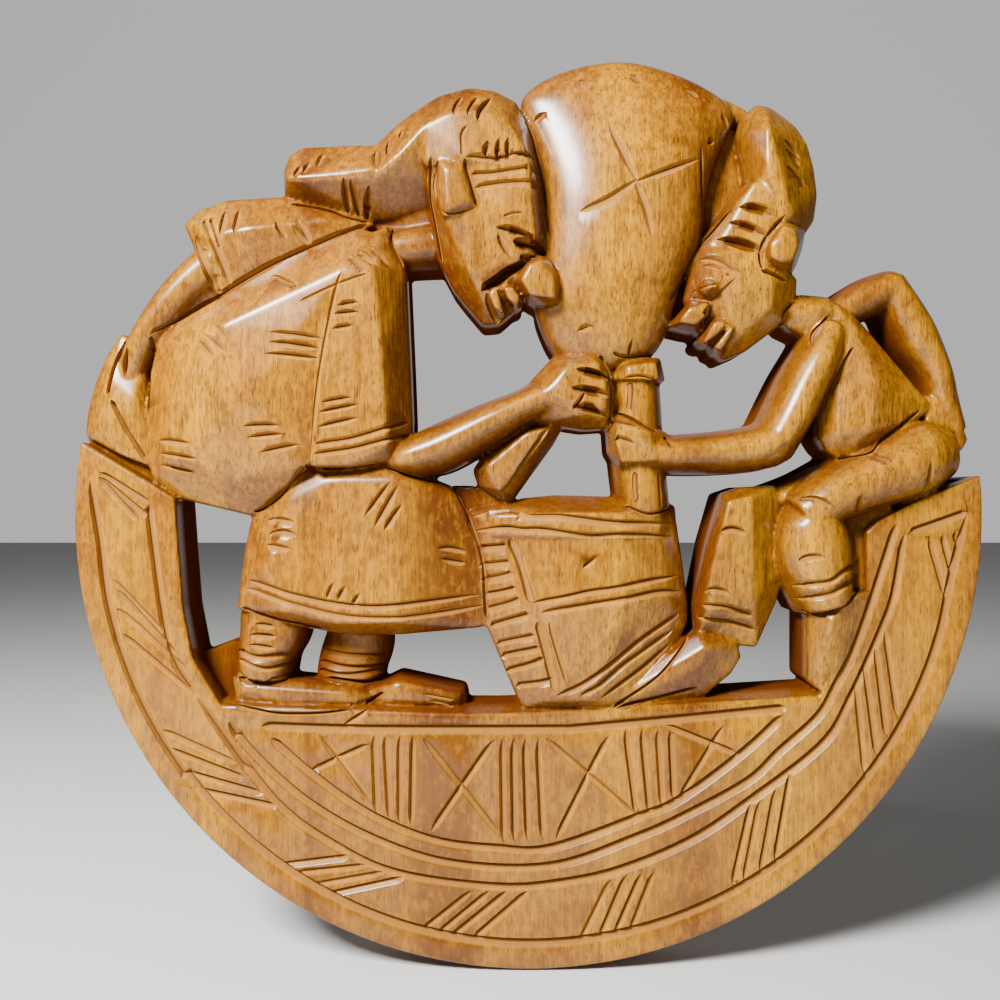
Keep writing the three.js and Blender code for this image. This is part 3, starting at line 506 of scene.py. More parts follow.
        return [
            Mass("neck", (neck, neck_web), Softness.KNIFE),
            Mass("headdress and head", (tail, twist, cap, head), Softness.KNIFE),
            Mass("ear", (ear,), Softness.KEEN),
            Mass("nose", (nose,), Softness.KEEN),
            Mass("upper lip", (upper_lip,), Softness.KEEN),
            Mass("lower lip", (lower_lip,), Softness.KEEN),
        ]

    def cuts(self) -> list[Cut]:
        """The hems, cuffs, bands and nicks of her dress, headdress, face and hands."""
        return [
            *strokes(
                Edge.LINE,
                ((-100.5, 92), (-97, 84.5), (-92, 71.5)),
                ((-103.5, 86.5), (-99, 76), (-95, 66.5)), ((-98.5, 92.5), (-96, 87), (-94.5, 82)),
                ((-64.5, 21.5), (-54, 23), (-42.5, 26.5), (-36.5, 29)),
                ((-65, 18.5), (-54, 20), (-42.5, 23), (-36, 25)),
                ((-86.5, -20), (-78, -22.5), (-62.5, -26), (-48.5, -27.5), (-34, -26.5), (-14.5, -24.5)),
                ((-87.5, -22.5), (-75.5, -26), (-58.5, -30), (-43.5, -31), (-29, -30), (-13.5, -28)),
                ((-92.5, -41.5), (-84.5, -44), (-73, -43)),
                ((-90.5, -45), (-81, -47.5), (-71.5, -45)),
                ((-91.5, -49), (-82.5, -51.5), (-73.5, -49)),
                ((-65, -43), (-56, -44), (-42.5, -44.5)),
                ((-66, -46.5), (-56, -48), (-44, -48)),
                ((-66.5, -49.5), (-57.5, -50.5), (-44.5, -49)),
                ((-19, 107), (-13.5, 106.5), (-9, 106.5), (-4.5, 108), (1.5, 108.5)),
                ((-17.5, 102), (-12, 102), (-6, 103), (2.5, 104.5)),
                ((-16.5, 98), (-9, 99), (-3, 99.5), (3, 100)),
            ),
            *strokes(
                Edge.LEAF,
                ((-100.5, 53), (-94.5, 47)), ((-98.5, 55), (-90, 48)), ((-95, 57.5), (-90.5, 52.5)),
                ((-54.5, 79), (-48, 73)), ((-51.5, 80.5), (-45.5, 75)), ((-48, 82), (-42.5, 76)),
                ((-72.5, 89), (-67, 82.5)), ((-71, 91.5), (-66.5, 82.5)),
                weight=1.1,
            ),
            *strokes(
                Edge.NICK,
                ((-89.5, 95), (-90, 86)), ((-94, 94.5), (-94.5, 85)),
                ((-77.5, 90), (-74, 84.5)), ((-78.5, 73.5), (-70, 69)),
                ((-78, 55), (-61.5, 53)), ((-78, 52), (-62.5, 50)), ((-79.5, 48.5), (-62.5, 47)),
                ((-86, 27), (-74.5, 27)), ((-85, 23.5), (-73.5, 24.5)), ((-81.5, 19), (-69, 21.5)),
                ((-114, 23), (-102, 21.5)), ((-113.5, 19), (-100, 17)), ((-113, 15.5), (-102, 13)),
                ((-57.5, 63), (-51, 64)), ((-58.5, 60.5), (-51, 61)), ((-59, 56), (-52.5, 57)),
                ((-62.5, 34), (-53, 35.5)), ((-63.5, 31), (-51, 33.5)), ((-64, 26.5), (-51, 29.5)),
                ((-59, -20), (-61, -25.5)), ((-55.5, -21), (-57.5, -26)), ((-51, -23), (-53.5, -27.5)),
                ((-80.5, -1.5), (-75.5, -1.5), (-71, -2.5)), ((-80, -6), (-75, -5), (-70.5, -6.5)),
                ((-80.5, -9), (-72, -10.5)),
                ((-42, 10.5), (-50, -0.5)), ((-39.5, 9.5), (-47, -4)), ((-38.5, 3.5), (-44, -5)),
                ((-28, -10), (-24, -10), (-19, -11.5)), ((-27.5, -13), (-19, -15)),
                ((-84.5, -33.5), (-78, -34.5)), ((-86.5, -37), (-77.5, -37.5)), ((-86.5, -40), (-78, -41)),
                ((-63.5, 112), (-65, 106.5)), ((-67.5, 109), (-69.5, 104)), ((-70, 108), (-72, 103.5)),
                ((-47, 112.5), (-46.5, 106)), ((-43, 115), (-43, 109)), ((-39, 118), (-38.5, 114)),
                ((-20.5, 127.5), (-21.8, 124), (-22.5, 119.5)), ((-15.5, 127.5), (-17, 124), (-18.5, 119.5)),
                ((-9.5, 85), (-7.5, 81), (-5, 77.5)), ((-13, 67.5), (-11.5, 63), (-9, 58.5)),
            ),
            *strokes(
                Edge.WEDGE,
                ((-11.5, 127.5), (-14, 122.5), (-15.5, 117.5)), ((-12.5, 112), (-13, 106.5)),
                ((-9, 113), (-9.5, 106)), ((-6.5, 113), (-6, 106.5)),
                ((-56.5, 103), (-56, 93.5)), ((-54.5, 102.5), (-52.5, 92.5)), ((-49, 101), (-50.5, 91.5)),
                ((-9.5, 69), (-8, 65), (-5, 61.5)), ((-124.5, 52), (-125.5, 43)),
            ),
            *strokes(
                Edge.WEDGE,
                ((-10, 86.5), (-4, 85), (3.5, 82)), ((14, 44.2), (19, 43), (24.5, 41.5)),
                ((12.5, 38.5), (18, 37.5), (24.5, 36.3)), ((13.3, 33), (18.5, 32), (24, 30)),
                weight=1.3,
            ),
            *strokes(
                Edge.WEDGE,
                ((-5, 82.5), (0, 81.5), (5.5, 80)), ((-14.5, 68), (-10, 71), (-5, 75), (1.5, 78)),
                weight=2.2,
            ),
            *strokes(
                Edge.SEAM,
                ((-117, 56), (-106, 63), (-94, 69.5), (-79.5, 77.5), (-59, 86.5), (-50, 90.5)),
                ((-116.5, 55.5), (-117.5, 44), (-118, 32.5)),
                ((-129.5, 36), (-124.5, 26.5), (-119, 17.5)), ((-126, 55), (-129, 47.5), (-131, 37.5)),
                ((-85, 1), (-78.5, 4.5), (-71, 12), (-68, 15)), ((-68, 15), (-58, 14.5), (-46, 16)),
                ((-44, 15), (-36, 12), (-29.5, 10.5), (-23.5, 9.5)),
                ((-23.5, 9), (-19, 0), (-14.5, -13), (-13.5, -25), (-13, -32)),
                ((-89, -28.5), (-82.5, -30.5), (-76.5, -32), (-70.5, -33), (-63.5, -34.5)),
                ((-90.5, -50.5), (-85, -52), (-79, -52), (-73.5, -51)),
                ((-64, -51), (-55.5, -52), (-51, -52.5), (-46, -51.5), (-43, -50.5)),
                ((-91, -58.5), (-83.5, -60), (-77, -61), (-65, -61), (-55, -60)),
                ((-51, -59), (-48.5, -57.5), (-45, -55)),
                ((-74, 97), (-62.5, 95), (-56, 92.5), (-50, 91.5)),
                ((-29.5, 108), (-30, 98), (-28.5, 89), (-26.5, 77.5)),
                ((-42.5, 90), (-42, 83.5), (-38.5, 76.5)),
                ((-3, 127), (0.5, 119), (2.5, 111), (4.5, 103.5), (5.5, 94), (6.5, 85)),
                ((-19.5, 106.5), (-18.5, 103), (-17, 97.5), (-15.5, 92.5)),
                ((-3, 77.5), (0, 78.5), (5, 80)), ((-0.5, 66), (3, 64.5), (7, 63)),
                ((17, 37.5), (15.5, 35), (13, 32)),
                ((21.5, 49), (23.5, 45.5), (24.5, 41.5), (25, 35), (24.5, 27.5)),
            ),
            *strokes(
                Edge.FINE,
                ((-56, 74), (-58.5, 65), (-61.5, 50), (-64, 35), (-66, 15)),
                ((-48.5, 72.5), (-57, 69.5), (-69, 64)),
                ((-8, 89.5), (-5, 90.5), (-2, 90.5)), ((-51, -44.5), (-47.5, -46.5)), ((-50, -48), (-45, -47)),
                ((-18.5, 116.5), (-20, 114), (-20, 109.5), (-20, 107.5)),
                ((-27.5, 106.5), (-28.5, 100.5), (-27.5, 94.5), (-25.5, 90.5), (-20, 91), (-15.5, 92.5)),
                ((-33, -55.5), (-22.5, -57.5)), ((-31, -57.5), (-22.5, -59.5)), ((-55, -58), (-54, -61)),
            ),
        ]


class MortarAndPestles:
    """The mortar, its two pestles and the web of wood beside them."""

    def masses(self) -> list[Mass]:
        """The masses of the mortar and the pestles."""
        mortar = Block((
            (-18, 1, 17), (-16.5, -7.5, 17), (-14.5, -20, 17), (-13, -34, 17), (-9.5, -40.5, 17),
            (-5.5, -50.5, 17), (-2, -59.5, 17), (25.5, -60, 17), (35.5, -57.5, 17), (43.5, -46.5, 17),
            (49.5, -33.5, 16), (49.5, -26.5, 16), (47.5, -17, 16), (46, -1.5, 16),
            (-9, 0.5, 21), (9.5, 0.5, 24.5), (27.5, 0.5, 24.5), (39.5, 0.5, 21),
            (-6, -25.5, 23), (9.5, -25.5, 26), (29, -25.5, 26), (43, -26, 21), (5, -56.5, 22),
            (18.5, -56, 23),
        ))
        rim = Block((
            (-18, 1, 17), (-4.5, 1.5, 16), (-1.5, 5, 15), (8.5, 6, 15), (28.5, 5.5, 15), (46, 3, 14),
            (46, -2, 16), (44.5, -7.5, 17), (-17, -7.5, 17),
            (-9, 0, 22.5), (9.5, 0.5, 26), (27.5, 0.5, 26), (39.5, -0.5, 22),
            (-9, -6, 22.5), (9.5, -6.5, 26), (27.5, -6.5, 26), (39.5, -6.5, 22),
        ))
        leaning_pestle = Block((
            (-17, 14, 17), (-15, 17, 17), (0, 27.5, 18), (8.5, 28.5, 18), (10, 26.5, 17), (7.5, 22, 16),
            (-1.5, 10, 16), (-5.5, 4, 15), (-9, 5, 16), (-15.5, 9.5, 17),
            (-12.5, 15, 22), (-0.5, 25, 24), (5, 26, 24), (3.5, 21.5, 22), (-9, 8, 22),
        ))
        web = Block((
            (-24, 9, 14), (-17.5, 9, 15), (-10.5, 5.5, 15), (-4.5, 1.5, 15), (-4.5, -2, 15),
            (-17.5, -2.5, 15),
        ))
        pestle = Limb((
            (33.5, 44, 7.5, 23), (33.5, 35, 8, 24), (34.5, 18, 8, 24), (36, 5, 8, 24), (36, -1, 8, 23),
        ))
        pestle_top = Block((
            (25.5, 42, 19), (28.5, 47, 19), (34.5, 48.5, 19), (40.5, 48.5, 19), (42, 41.5, 19),
            (30, 45, 24.5), (38, 46, 25), (39, 41.5, 25), (30.5, 41.5, 25),
        ))
        return [
            Mass("mortar", (mortar,), Softness.KNIFE),
            Mass("mortar rim", (rim,), Softness.KNIFE),
            Mass("leaning pestle", (leaning_pestle,), Softness.KNIFE),
            Mass("web", (web,), Softness.KEEN),
            Mass("pestle", (pestle,), Softness.KNIFE),
            Mass("pestle top", (pestle_top,), Softness.KEEN),
        ]

    def cuts(self) -> list[Cut]:
        """The lines on the mortar and the pestles."""
        rungs = (
            ((-16, -10.5), (-10.5, -10), (-6.5, -9.5)), ((-16, -16), (-9.5, -15), (-5.5, -14.5)),
            ((-15, -20.5), (-9, -19), (-4.5, -17.5)), ((-14, -25), (-8, -23.5), (-3.5, -22)),
            ((-13, -29.5), (-7, -27.5), (-2.5, -25.5)), ((-12, -34.5), (-5.5, -32), (0.5, -30)),
            ((-10, -40), (-3.5, -38), (2, -36.5)), ((-8.5, -44), (-2, -42), (3.5, -40.5)),
            ((-7, -48.5), (-0.5, -46), (5, -43.5)), ((-4, -53), (2.5, -51.5), (8, -50)),
        )
        return [
            *strokes(Edge.LINE, *rungs, weight=1.15),
            *strokes(
                Edge.LINE,
                ((-17.5, -0.5), (-9.5, 1), (-4.5, 1), (0.5, -0.5), (9.5, -0.5), (21.5, -2), (29, -2.5), (44.5, -2.5)),
                ((-17, -5), (-7.5, -4), (-2.5, -4.5), (3.5, -4.5), (11, -5.5), (18.5, -6.5), (29, -6), (44.5, -6.5)),
                ((-6, -7), (-2.5, -15), (0.5, -26.5)), ((2.5, -32), (5, -41), (8, -53.5)),
                ((1, -26.5), (9.5, -25), (18.5, -23), (26, -22), (33.5, -20.5), (46.5, -18.5)),
                ((3.5, -29.5), (12.5, -28), (21.5, -26.5), (30.5, -25), (39.5, -23.5), (47, -23.5)),
                ((8.5, -55), (15.5, -52), (24.5, -46), (33.5, -39), (41, -34), (46.5, -30.5)),
                ((15.5, -55), (21.5, -52), (29, -46), (36.5, -41), (44.5, -35.5)),
                ((6, 26.5), (-1, 17), (-9, 5.5)),
            ),
            *strokes(Edge.NICK, ((16, -16), (20.5, -12.5)), ((22, -56), (28, -52), (36.5, -46), (44.5, -39))),
            *strokes(
                Edge.SEAM,
                ((25.5, 50), (29, 48.5), (36, 49.5), (41, 50)), ((31.5, 54), (30.5, 48.5)),
                ((29, 42), (33.5, 42.5), (37.5, 41.5), (41.5, 39.5)),
                ((-17, 9.5), (-10.5, 4.5), (-5, 1.5)), ((29.5, 3), (36, 0.5), (43.5, 2)),
                weight=0.8,
            ),
            *strokes(
                Edge.FINE,
                ((-2.5, -11), (-0.5, -18), (2, -25.5)), ((6, -32), (8.5, -41), (12, -52)),
                ((-12, 17), (-16, 12.5)), ((30.5, 41.5), (30.5, 36.5), (30, 31.5)),
                ((32, 13.5), (32, 9.5), (32.5, 4)), ((40, 13.5), (40, 9.5), (40.5, 2)),
            ),
        ]


class Crown:
    """The gourd-shaped crown between the two heads."""

    def masses(self) -> list[Mass]:
        """The crown with the low panel beside it."""
        gourd = Dome((
            (141.2, 25, 34, 16), (140.2, 14.5, 41, 17.5), (137, 6, 49.5, 19.5), (133, 0.5, 56.5, 21.5),
            (129, -2, 61.5, 23), (124, -1, 64, 24.5), (117, 1.5, 61, 26.2), (108, 3.8, 57, 27.8),
            (98, 5.3, 54.5, 28.8), (87.5, 5.2, 53.5, 28.8), (79, 4.5, 50.5, 28.4), (71.5, 3.5, 47, 27.6),
            (64, 2.5, 45, 26.6), (56, 5, 42.5, 25), (50, 8.5, 38.5, 23.2), (47, 14, 32, 21.7), (45.3, 20, 27, 20.5),
        ))
        low_panel = Block((
            (52, 111.5, 15), (63, 121.5, 14), (67, 119.5, 14), (67, 98.5, 15), (60.5, 91.5, 16),
            (50, 84, 16),
        ))
        nose_web = Block((
            (40, 74, 14), (52, 80, 14), (54, 62, 14), (48, 60.5, 14), (42.5, 64, 14),
        ))
        sliver = Block(((61, 132, 12), (69, 128, 12), (70.5, 122, 12), (63, 121, 12)))
        return [
            Mass("crown", (gourd,), Softness.WORN),
            Mass("low panel", (low_panel, sliver), Softness.KEEN),
            Mass("nose web", (nose_web,), Softness.KEEN),
        ]

    def cuts(self) -> list[Cut]:
        """The crossed star on the crown, its seam and the small chips round its edge."""
        return [
            *strokes(
                Edge.LEAF,
                ((24, 119), (28, 110), (32.5, 100)), ((31.5, 100.5), (35, 92), (37, 83.5)),
                ((15, 91.5), (24, 95), (33, 101)), ((31, 99.5), (42, 104), (52, 108.5)),
                weight=0.95,
            ),
            *strokes(
                Edge.LEAF,
                ((15.5, 134), (19.5, 130.5)), ((31.5, 136), (34.5, 132.5)), ((48.5, 131.5), (52.5, 128)),
                ((1.5, 121.5), (5.5, 124)), ((14.5, 56), (19.5, 57.5)),
            ),
            *strokes(Edge.NICK, ((59.5, 124), (62, 119.5)), ((54.5, 113.5), (57, 115))),
            *strokes(
                Edge.SEAM, ((52.5, 113), (53, 98), (53.5, 86), (49.5, 77.5), (46, 70.5), (43.5, 66)), weight=0.85
            ),
        ]


class SmallFigure:
    """The smaller woman on the right, sitting on the end of the rim."""

    def masses(self) -> list[Mass]:
        """The masses of her body, legs and head."""
        return [*self._body(), *self._legs(), *self._head()]

    def _body(self) -> list[Mass]:
        """Her torso and arms."""
        far_arm = Limb(((97, 63, 5.5, 19), (106.5, 68.5, 6, 20), (115.5, 72.5, 5, 20)))
        far_forearm = Limb((
            (113, 73.5, 5, 20), (121, 58.5, 7, 20), (128, 45.5, 5.5, 19), (130.5, 36, 5.5, 18),
            (133.5, 26, 5.5, 17),
        ))
        far_hand = Block((
            (123.5, 37.5, 15), (128, 36.5, 17), (133.5, 32, 17), (137, 23.5, 16), (134.5, 20, 17),
            (124, 29, 17),
        ))
        torso = Block((
            (94, 65.5, 20), (99.5, 62.5, 19), (103.5, 59, 18), (115.5, 44.5, 17), (124, 35.5, 17),
            (125, 33, 17), (120, 29.5, 18), (109, 21.5, 18), (99.5, 17.5, 18), (97, 17, 18),
            (92.5, 20, 18), (90, 24, 18), (91.5, 31, 19), (97, 42, 20),
            (100, 57, 22), (102.5, 49, 24), (104.5, 39.5, 25.5), (104, 26, 24.5), (94.5, 25.5, 23),
        ))
        near_arm = Limb((
            (94, 59, 6, 23), (90, 49.5, 7, 27), (85.5, 41, 7.5, 28), (80.5, 31, 7.5, 28.5),
            (76.5, 24, 7, 28),
        ))
        near_forearm = Limb((
            (76.5, 24, 7, 28), (70.5, 21, 7, 28), (58, 19.5, 6.5, 27.5), (45.5, 19, 6, 27),
            (36, 19, 5.5, 27),
        ))
        elbow = Block((
            (70, 14, 18), (77, 15.5, 18), (81.5, 18, 18), (84.5, 23, 18), (85, 28, 19), (72, 30, 20),
            (73, 20, 28), (79, 24, 28), (77, 28, 28), (77, 18, 24), (82, 24, 24),
        ))
        near_hand = Block((
            (25.5, 30.5, 20), (28, 32, 20), (34.5, 29.5, 20), (43, 25, 20), (43.5, 14, 19),
            (28.5, 14, 19), (25, 19.5, 19), (24.5, 26.5, 19),
            (28, 28.5, 26.5), (35.5, 25, 28), (38, 17, 27), (28, 16.5, 26), (26, 23.5, 26),
        ))
        return [
            Mass("small far arm", (far_arm, far_forearm), Softness.KNIFE),
            Mass("small far hand", (far_hand,), Softness.KEEN),
            Mass("small torso", (torso,), Softness.KNIFE),
            Mass("small near arm", (near_arm, elbow, near_forearm, near_hand), Softness.KNIFE),
        ]

    def _legs(self) -> list[Mass]:
        """Her bent legs and feet."""
        near_thigh = Limb((
            (132.5, 21, 8.5, 20), (123, 18.5, 11.5, 26), (113, 14.5, 11, 27.5), (102.5, 10, 9.5, 27.5),
            (92.5, 5.5, 8.5, 28), (84.5, -0.5, 8.5, 27),
        ))
        near_shin = Limb((
            (87.5, 4, 7, 22), (87.5, -1, 10, 27), (87.5, -5, 12, 28), (88, -11.5, 12.5, 28.5),
            (90, -19, 11, 28), (92.5, -28, 9, 26),
        ))
        near_foot = Block((
            (86.5, -28, 18), (86.5, -51, 17), (90, -54, 19), (96, -48, 20), (107, -23, 19),
            (98, -24.5, 23), (92, -32, 24.5), (89, -47.5, 20),
        ))
        shin_web = Block((
            (96, 4, 12), (112, 6, 15), (113.5, -1, 19.5), (109.5, -14, 19.5), (105, -27, 19.5),
            (100, -27, 16),
        ))
        seat_web = Block((
            (100, 3, 12), (112, 8, 12), (125, 12, 12), (128, 7, 12), (118, -3, 12), (106, -7, 12),
        ))
        far_thigh = Limb(((74, 4, 4.5, 17), (86, 8.5, 4.5, 18), (98, 15, 4.5, 18)))
        far_shin = Block((
            (60, 6.5, 19), (66, 8.5, 19), (76.5, 9, 17), (80, 5, 15), (79.5, -6, 15), (80.5, -16, 15),
            (77.5, -27, 15), (72.5, -36.5, 16), (71, -41, 16), (52.5, -38.5, 18), (51.5, -28.5, 18),
            (53.5, -19, 18), (55.5, -9, 18),
            (60.5, 4, 25), (67, 5.5, 25), (68.5, -25.5, 23), (54.5, -29, 24), (55.5, -16.5, 25),
        ))
        far_foot = Block((
            (22.5, -59.5, 18), (35.5, -51, 19), (44.5, -44.5, 19), (52, -36, 20), (64.5, -39, 18),
            (66, -44, 17), (63, -49, 17), (54.5, -56, 17), (24, -61, 17),
            (54, -40, 24), (50.5, -46.5, 23), (37, -53.5, 21),
        ))
        return [
            Mass("small near leg", (near_thigh, near_shin, near_foot), Softness.KNIFE),
            Mass("shin web", (shin_web, seat_web), Softness.KEEN),
            Mass("small far thigh", (far_thigh,), Softness.KNIFE),
            Mass("small far shin", (far_shin,), Softness.KNIFE),
            Mass("small far foot", (far_foot,), Softness.KNIFE),
        ]

    def _head(self) -> list[Mass]:
        """Her bowed head, with a high headdress and a knot of cloth over the ear."""
        neck = Block((
            (78, 66, 17), (84.5, 68.5, 17), (93, 67.5, 18), (96, 62.5, 20), (87.5, 55, 18),
            (80, 58.5, 17), (81, 64.5, 21), (89.5, 64, 22), (83, 59.5, 20),
        ))
        cap = Block((
            (65, 118.5, 17), (66.5, 124, 16), (71.5, 128, 16), (75.5, 127, 16), (79, 124.5, 16),
            (83.5, 121, 16), (87, 115.5, 16), (89, 108, 16), (90, 100, 16), (89, 92, 16),
            (85, 86.5, 18), (67, 107, 18), (68.5, 96.5, 22),
            (72.5, 123.5, 22), (71.5, 116.5, 28), (71.5, 106.5, 28.5), (76.5, 97.5, 28.5),
            (79, 90.5, 27), (75, 87.5, 27),
        ))
        brow_band = Block((
            (65.5, 101.5, 18), (53.5, 84.5, 20), (51.5, 81, 20), (70.5, 80, 27), (75, 88.5, 27),
            (76, 96, 28), (68.5, 101, 26), (58.5, 83.5, 25),
        ))
        knot = Block((
            (77, 91.5, 20), (82.5, 90, 20), (85, 87.5, 20), (84, 82, 20), (82, 76.5, 20), (79.5, 73, 20),
            (75.5, 74, 20), (71.5, 75.5, 20), (70.5, 81, 20), (72, 85.5, 20), (76, 86.5, 29), (79, 85.5, 29),
            (80, 80.5, 29), (78.5, 76.5, 29), (75, 76, 30), (72, 77.5, 29.5), (72, 81, 30), (75, 82, 31),
        ))
        face = Block((
            (53.5, 84.5, 20), (51, 80.5, 20), (49.5, 73, 19), (48, 66.5, 19), (53.5, 60, 19),
            (56.5, 52.5, 19), (60, 48, 19), (67, 51, 19), (73.5, 56, 19), (79, 60, 19), (82.5, 68, 19),
            (82.5, 73, 20), (70.5, 80.5, 26), (56, 79, 26), (58, 68.5, 25), (64.5, 69.5, 28),
            (73, 69.5, 27), (73, 63, 25.5), (62.5, 58, 25), (60.5, 52, 23),
        ))
        nose = Block((
            (55.5, 66, 22), (49.5, 65.5, 21), (46.5, 62, 20), (43.5, 58.5, 19), (50, 57, 19), (53.5, 56.5, 19),
            (55.5, 61, 20), (54, 64, 26), (48.5, 62.5, 25.5), (46, 59, 24.5), (50.5, 58, 25), (53, 60.5, 26),
        ))
        upper_lip = Block((
            (56.5, 60.5, 21), (62, 59.5, 21), (59.5, 56, 20), (55, 52, 19), (52, 54, 19), (54.5, 57, 20),
            (56, 58, 26.5), (59.5, 58, 26.5), (56.5, 55, 26), (53, 52.5, 25),
        ))
        lower_lip = Block((
            (62.5, 59, 21), (64.5, 57, 21), (60, 49, 19), (56.5, 50.5, 19), (58.5, 54.5, 20),
            (61, 57, 26.5), (61, 56, 26.5), (58, 50.5, 25), (56.5, 51, 25),
        ))
        eye = Boss(((52, 70, 24), (54, 71.5, 24), (57, 71, 24), (57, 67, 24), (53, 67, 24), (54.5, 69.5, 28), (56, 69, 28)), 15)
        return [
            Mass("small neck", (neck,), Softness.KNIFE),
            Mass("small head", (cap, brow_band, face), Softness.KNIFE),
            Mass("small eye", (eye,), Softness.KEEN),
            Mass("small knot", (knot,), Softness.KNIFE),
            Mass("small nose", (nose,), Softness.KEEN),
            Mass("small upper lip", (upper_lip,), Softness.KEEN),
            Mass("small lower lip", (lower_lip,), Softness.KEEN),
        ]

    def cuts(self) -> list[Cut]:
        """The nicks and anklets of her legs, hands, face and headdress."""
        return [
            *strokes(
                Edge.LINE,
                ((80.5, -21.5), (90, -20), (95, -17), (102, -14.5)),
                ((81.5, -25.5), (90, -24), (95, -21.5), (102, -18.5)),
                ((53, -27.5), (60, -28), (69, -31)), ((52, -31.5), (60, -32.5), (70, -35.5)),
            ),
            *strokes(
                Edge.NICK,
                ((121, 16.5), (121.5, 11), (121, 5)), ((103.5, 19.5), (106, 17.5), (109, 16.5)),
                ((82, 5), (86.5, 5), (91.5, 2.5)), ((81, -14), (84, -12.5), (88.5, -12.5)),
                ((99.5, 6.5), (100, 3.5), (100.5, -2)),
                ((58, -5), (61.5, -4), (66, -5.5)), ((53.5, -23.5), (56.5, -22.5), (61.5, -24)),
                ((78, 114.5), (83.5, 109.5)), ((78, 111.5), (83.5, 107)), ((78, 106), (85.5, 101)),
                ((52, 78), (55, 77.5), (58.5, 76), (61, 74), (63.5, 73)),
                ((62, 71.5), (59.5, 68.5), (56, 65.5), (52.5, 65.5), (50.5, 67)),
                ((24.5, 19), (27, 18.5), (31, 17.3)), ((24.5, 23.6), (27.5, 23), (32, 21.5)),
            ),
            *strokes(
                Edge.WEDGE,
                ((24.5, 28.8), (28.5, 27.7), (33.5, 26.5)),
                ((53, 51), (56, 53.5), (59.5, 56)), ((57, 48.5), (59, 52), (62.5, 55.5)),
                ((54, 63.5), (53, 59.5), (52, 56)),
            ),
            *strokes(
                Edge.WEDGE,
                ((63.5, 93.5), (68.5, 92.5), (74, 90)), ((60.5, 89), (66, 87), (72, 84)),
                ((57, 84), (64, 82), (70.5, 79.5)),
                weight=1.25,
            ),
            *strokes(
                Edge.SEAM,
                ((51.5, -35.5), (57, -37), (63, -38.5), (69, -38)), ((84, -29), (90.5, -30), (101.5, -23.5)),
                ((99, 51.5), (95.5, 44.5), (90.5, 33), (88.5, 24.5)), ((92.5, 61.5), (87.5, 56.5), (86, 52)),
                ((82, 66), (78.5, 62.5), (78, 58)), ((121, 32.5), (109, 23.5), (104, 19), (95.5, 17.5)),
                ((26, -59.5), (40, -49), (50, -37)), ((27, -59.5), (52, -53)),
                ((77, 90.5), (71, 83.5), (69.5, 78.5), (70.5, 74)), ((69.5, 74), (74, 73), (79, 71.5)),
                ((61.5, 93), (56.5, 87), (52, 82), (49, 76), (47, 69.5)),
                ((27, 31.5), (31, 29.5), (35, 27), (39, 25)), ((41, 24), (42.5, 22.5), (43, 20.5)),
            ),
            *strokes(
                Edge.FINE,
                ((50, 68.5), (53.5, 69), (57, 70)), ((53, 76), (56, 75), (58.5, 73.5), (58.5, 71)),
                ((54.5, 59), (58.5, 58.5), (62, 56.5)),
            ),
        ]


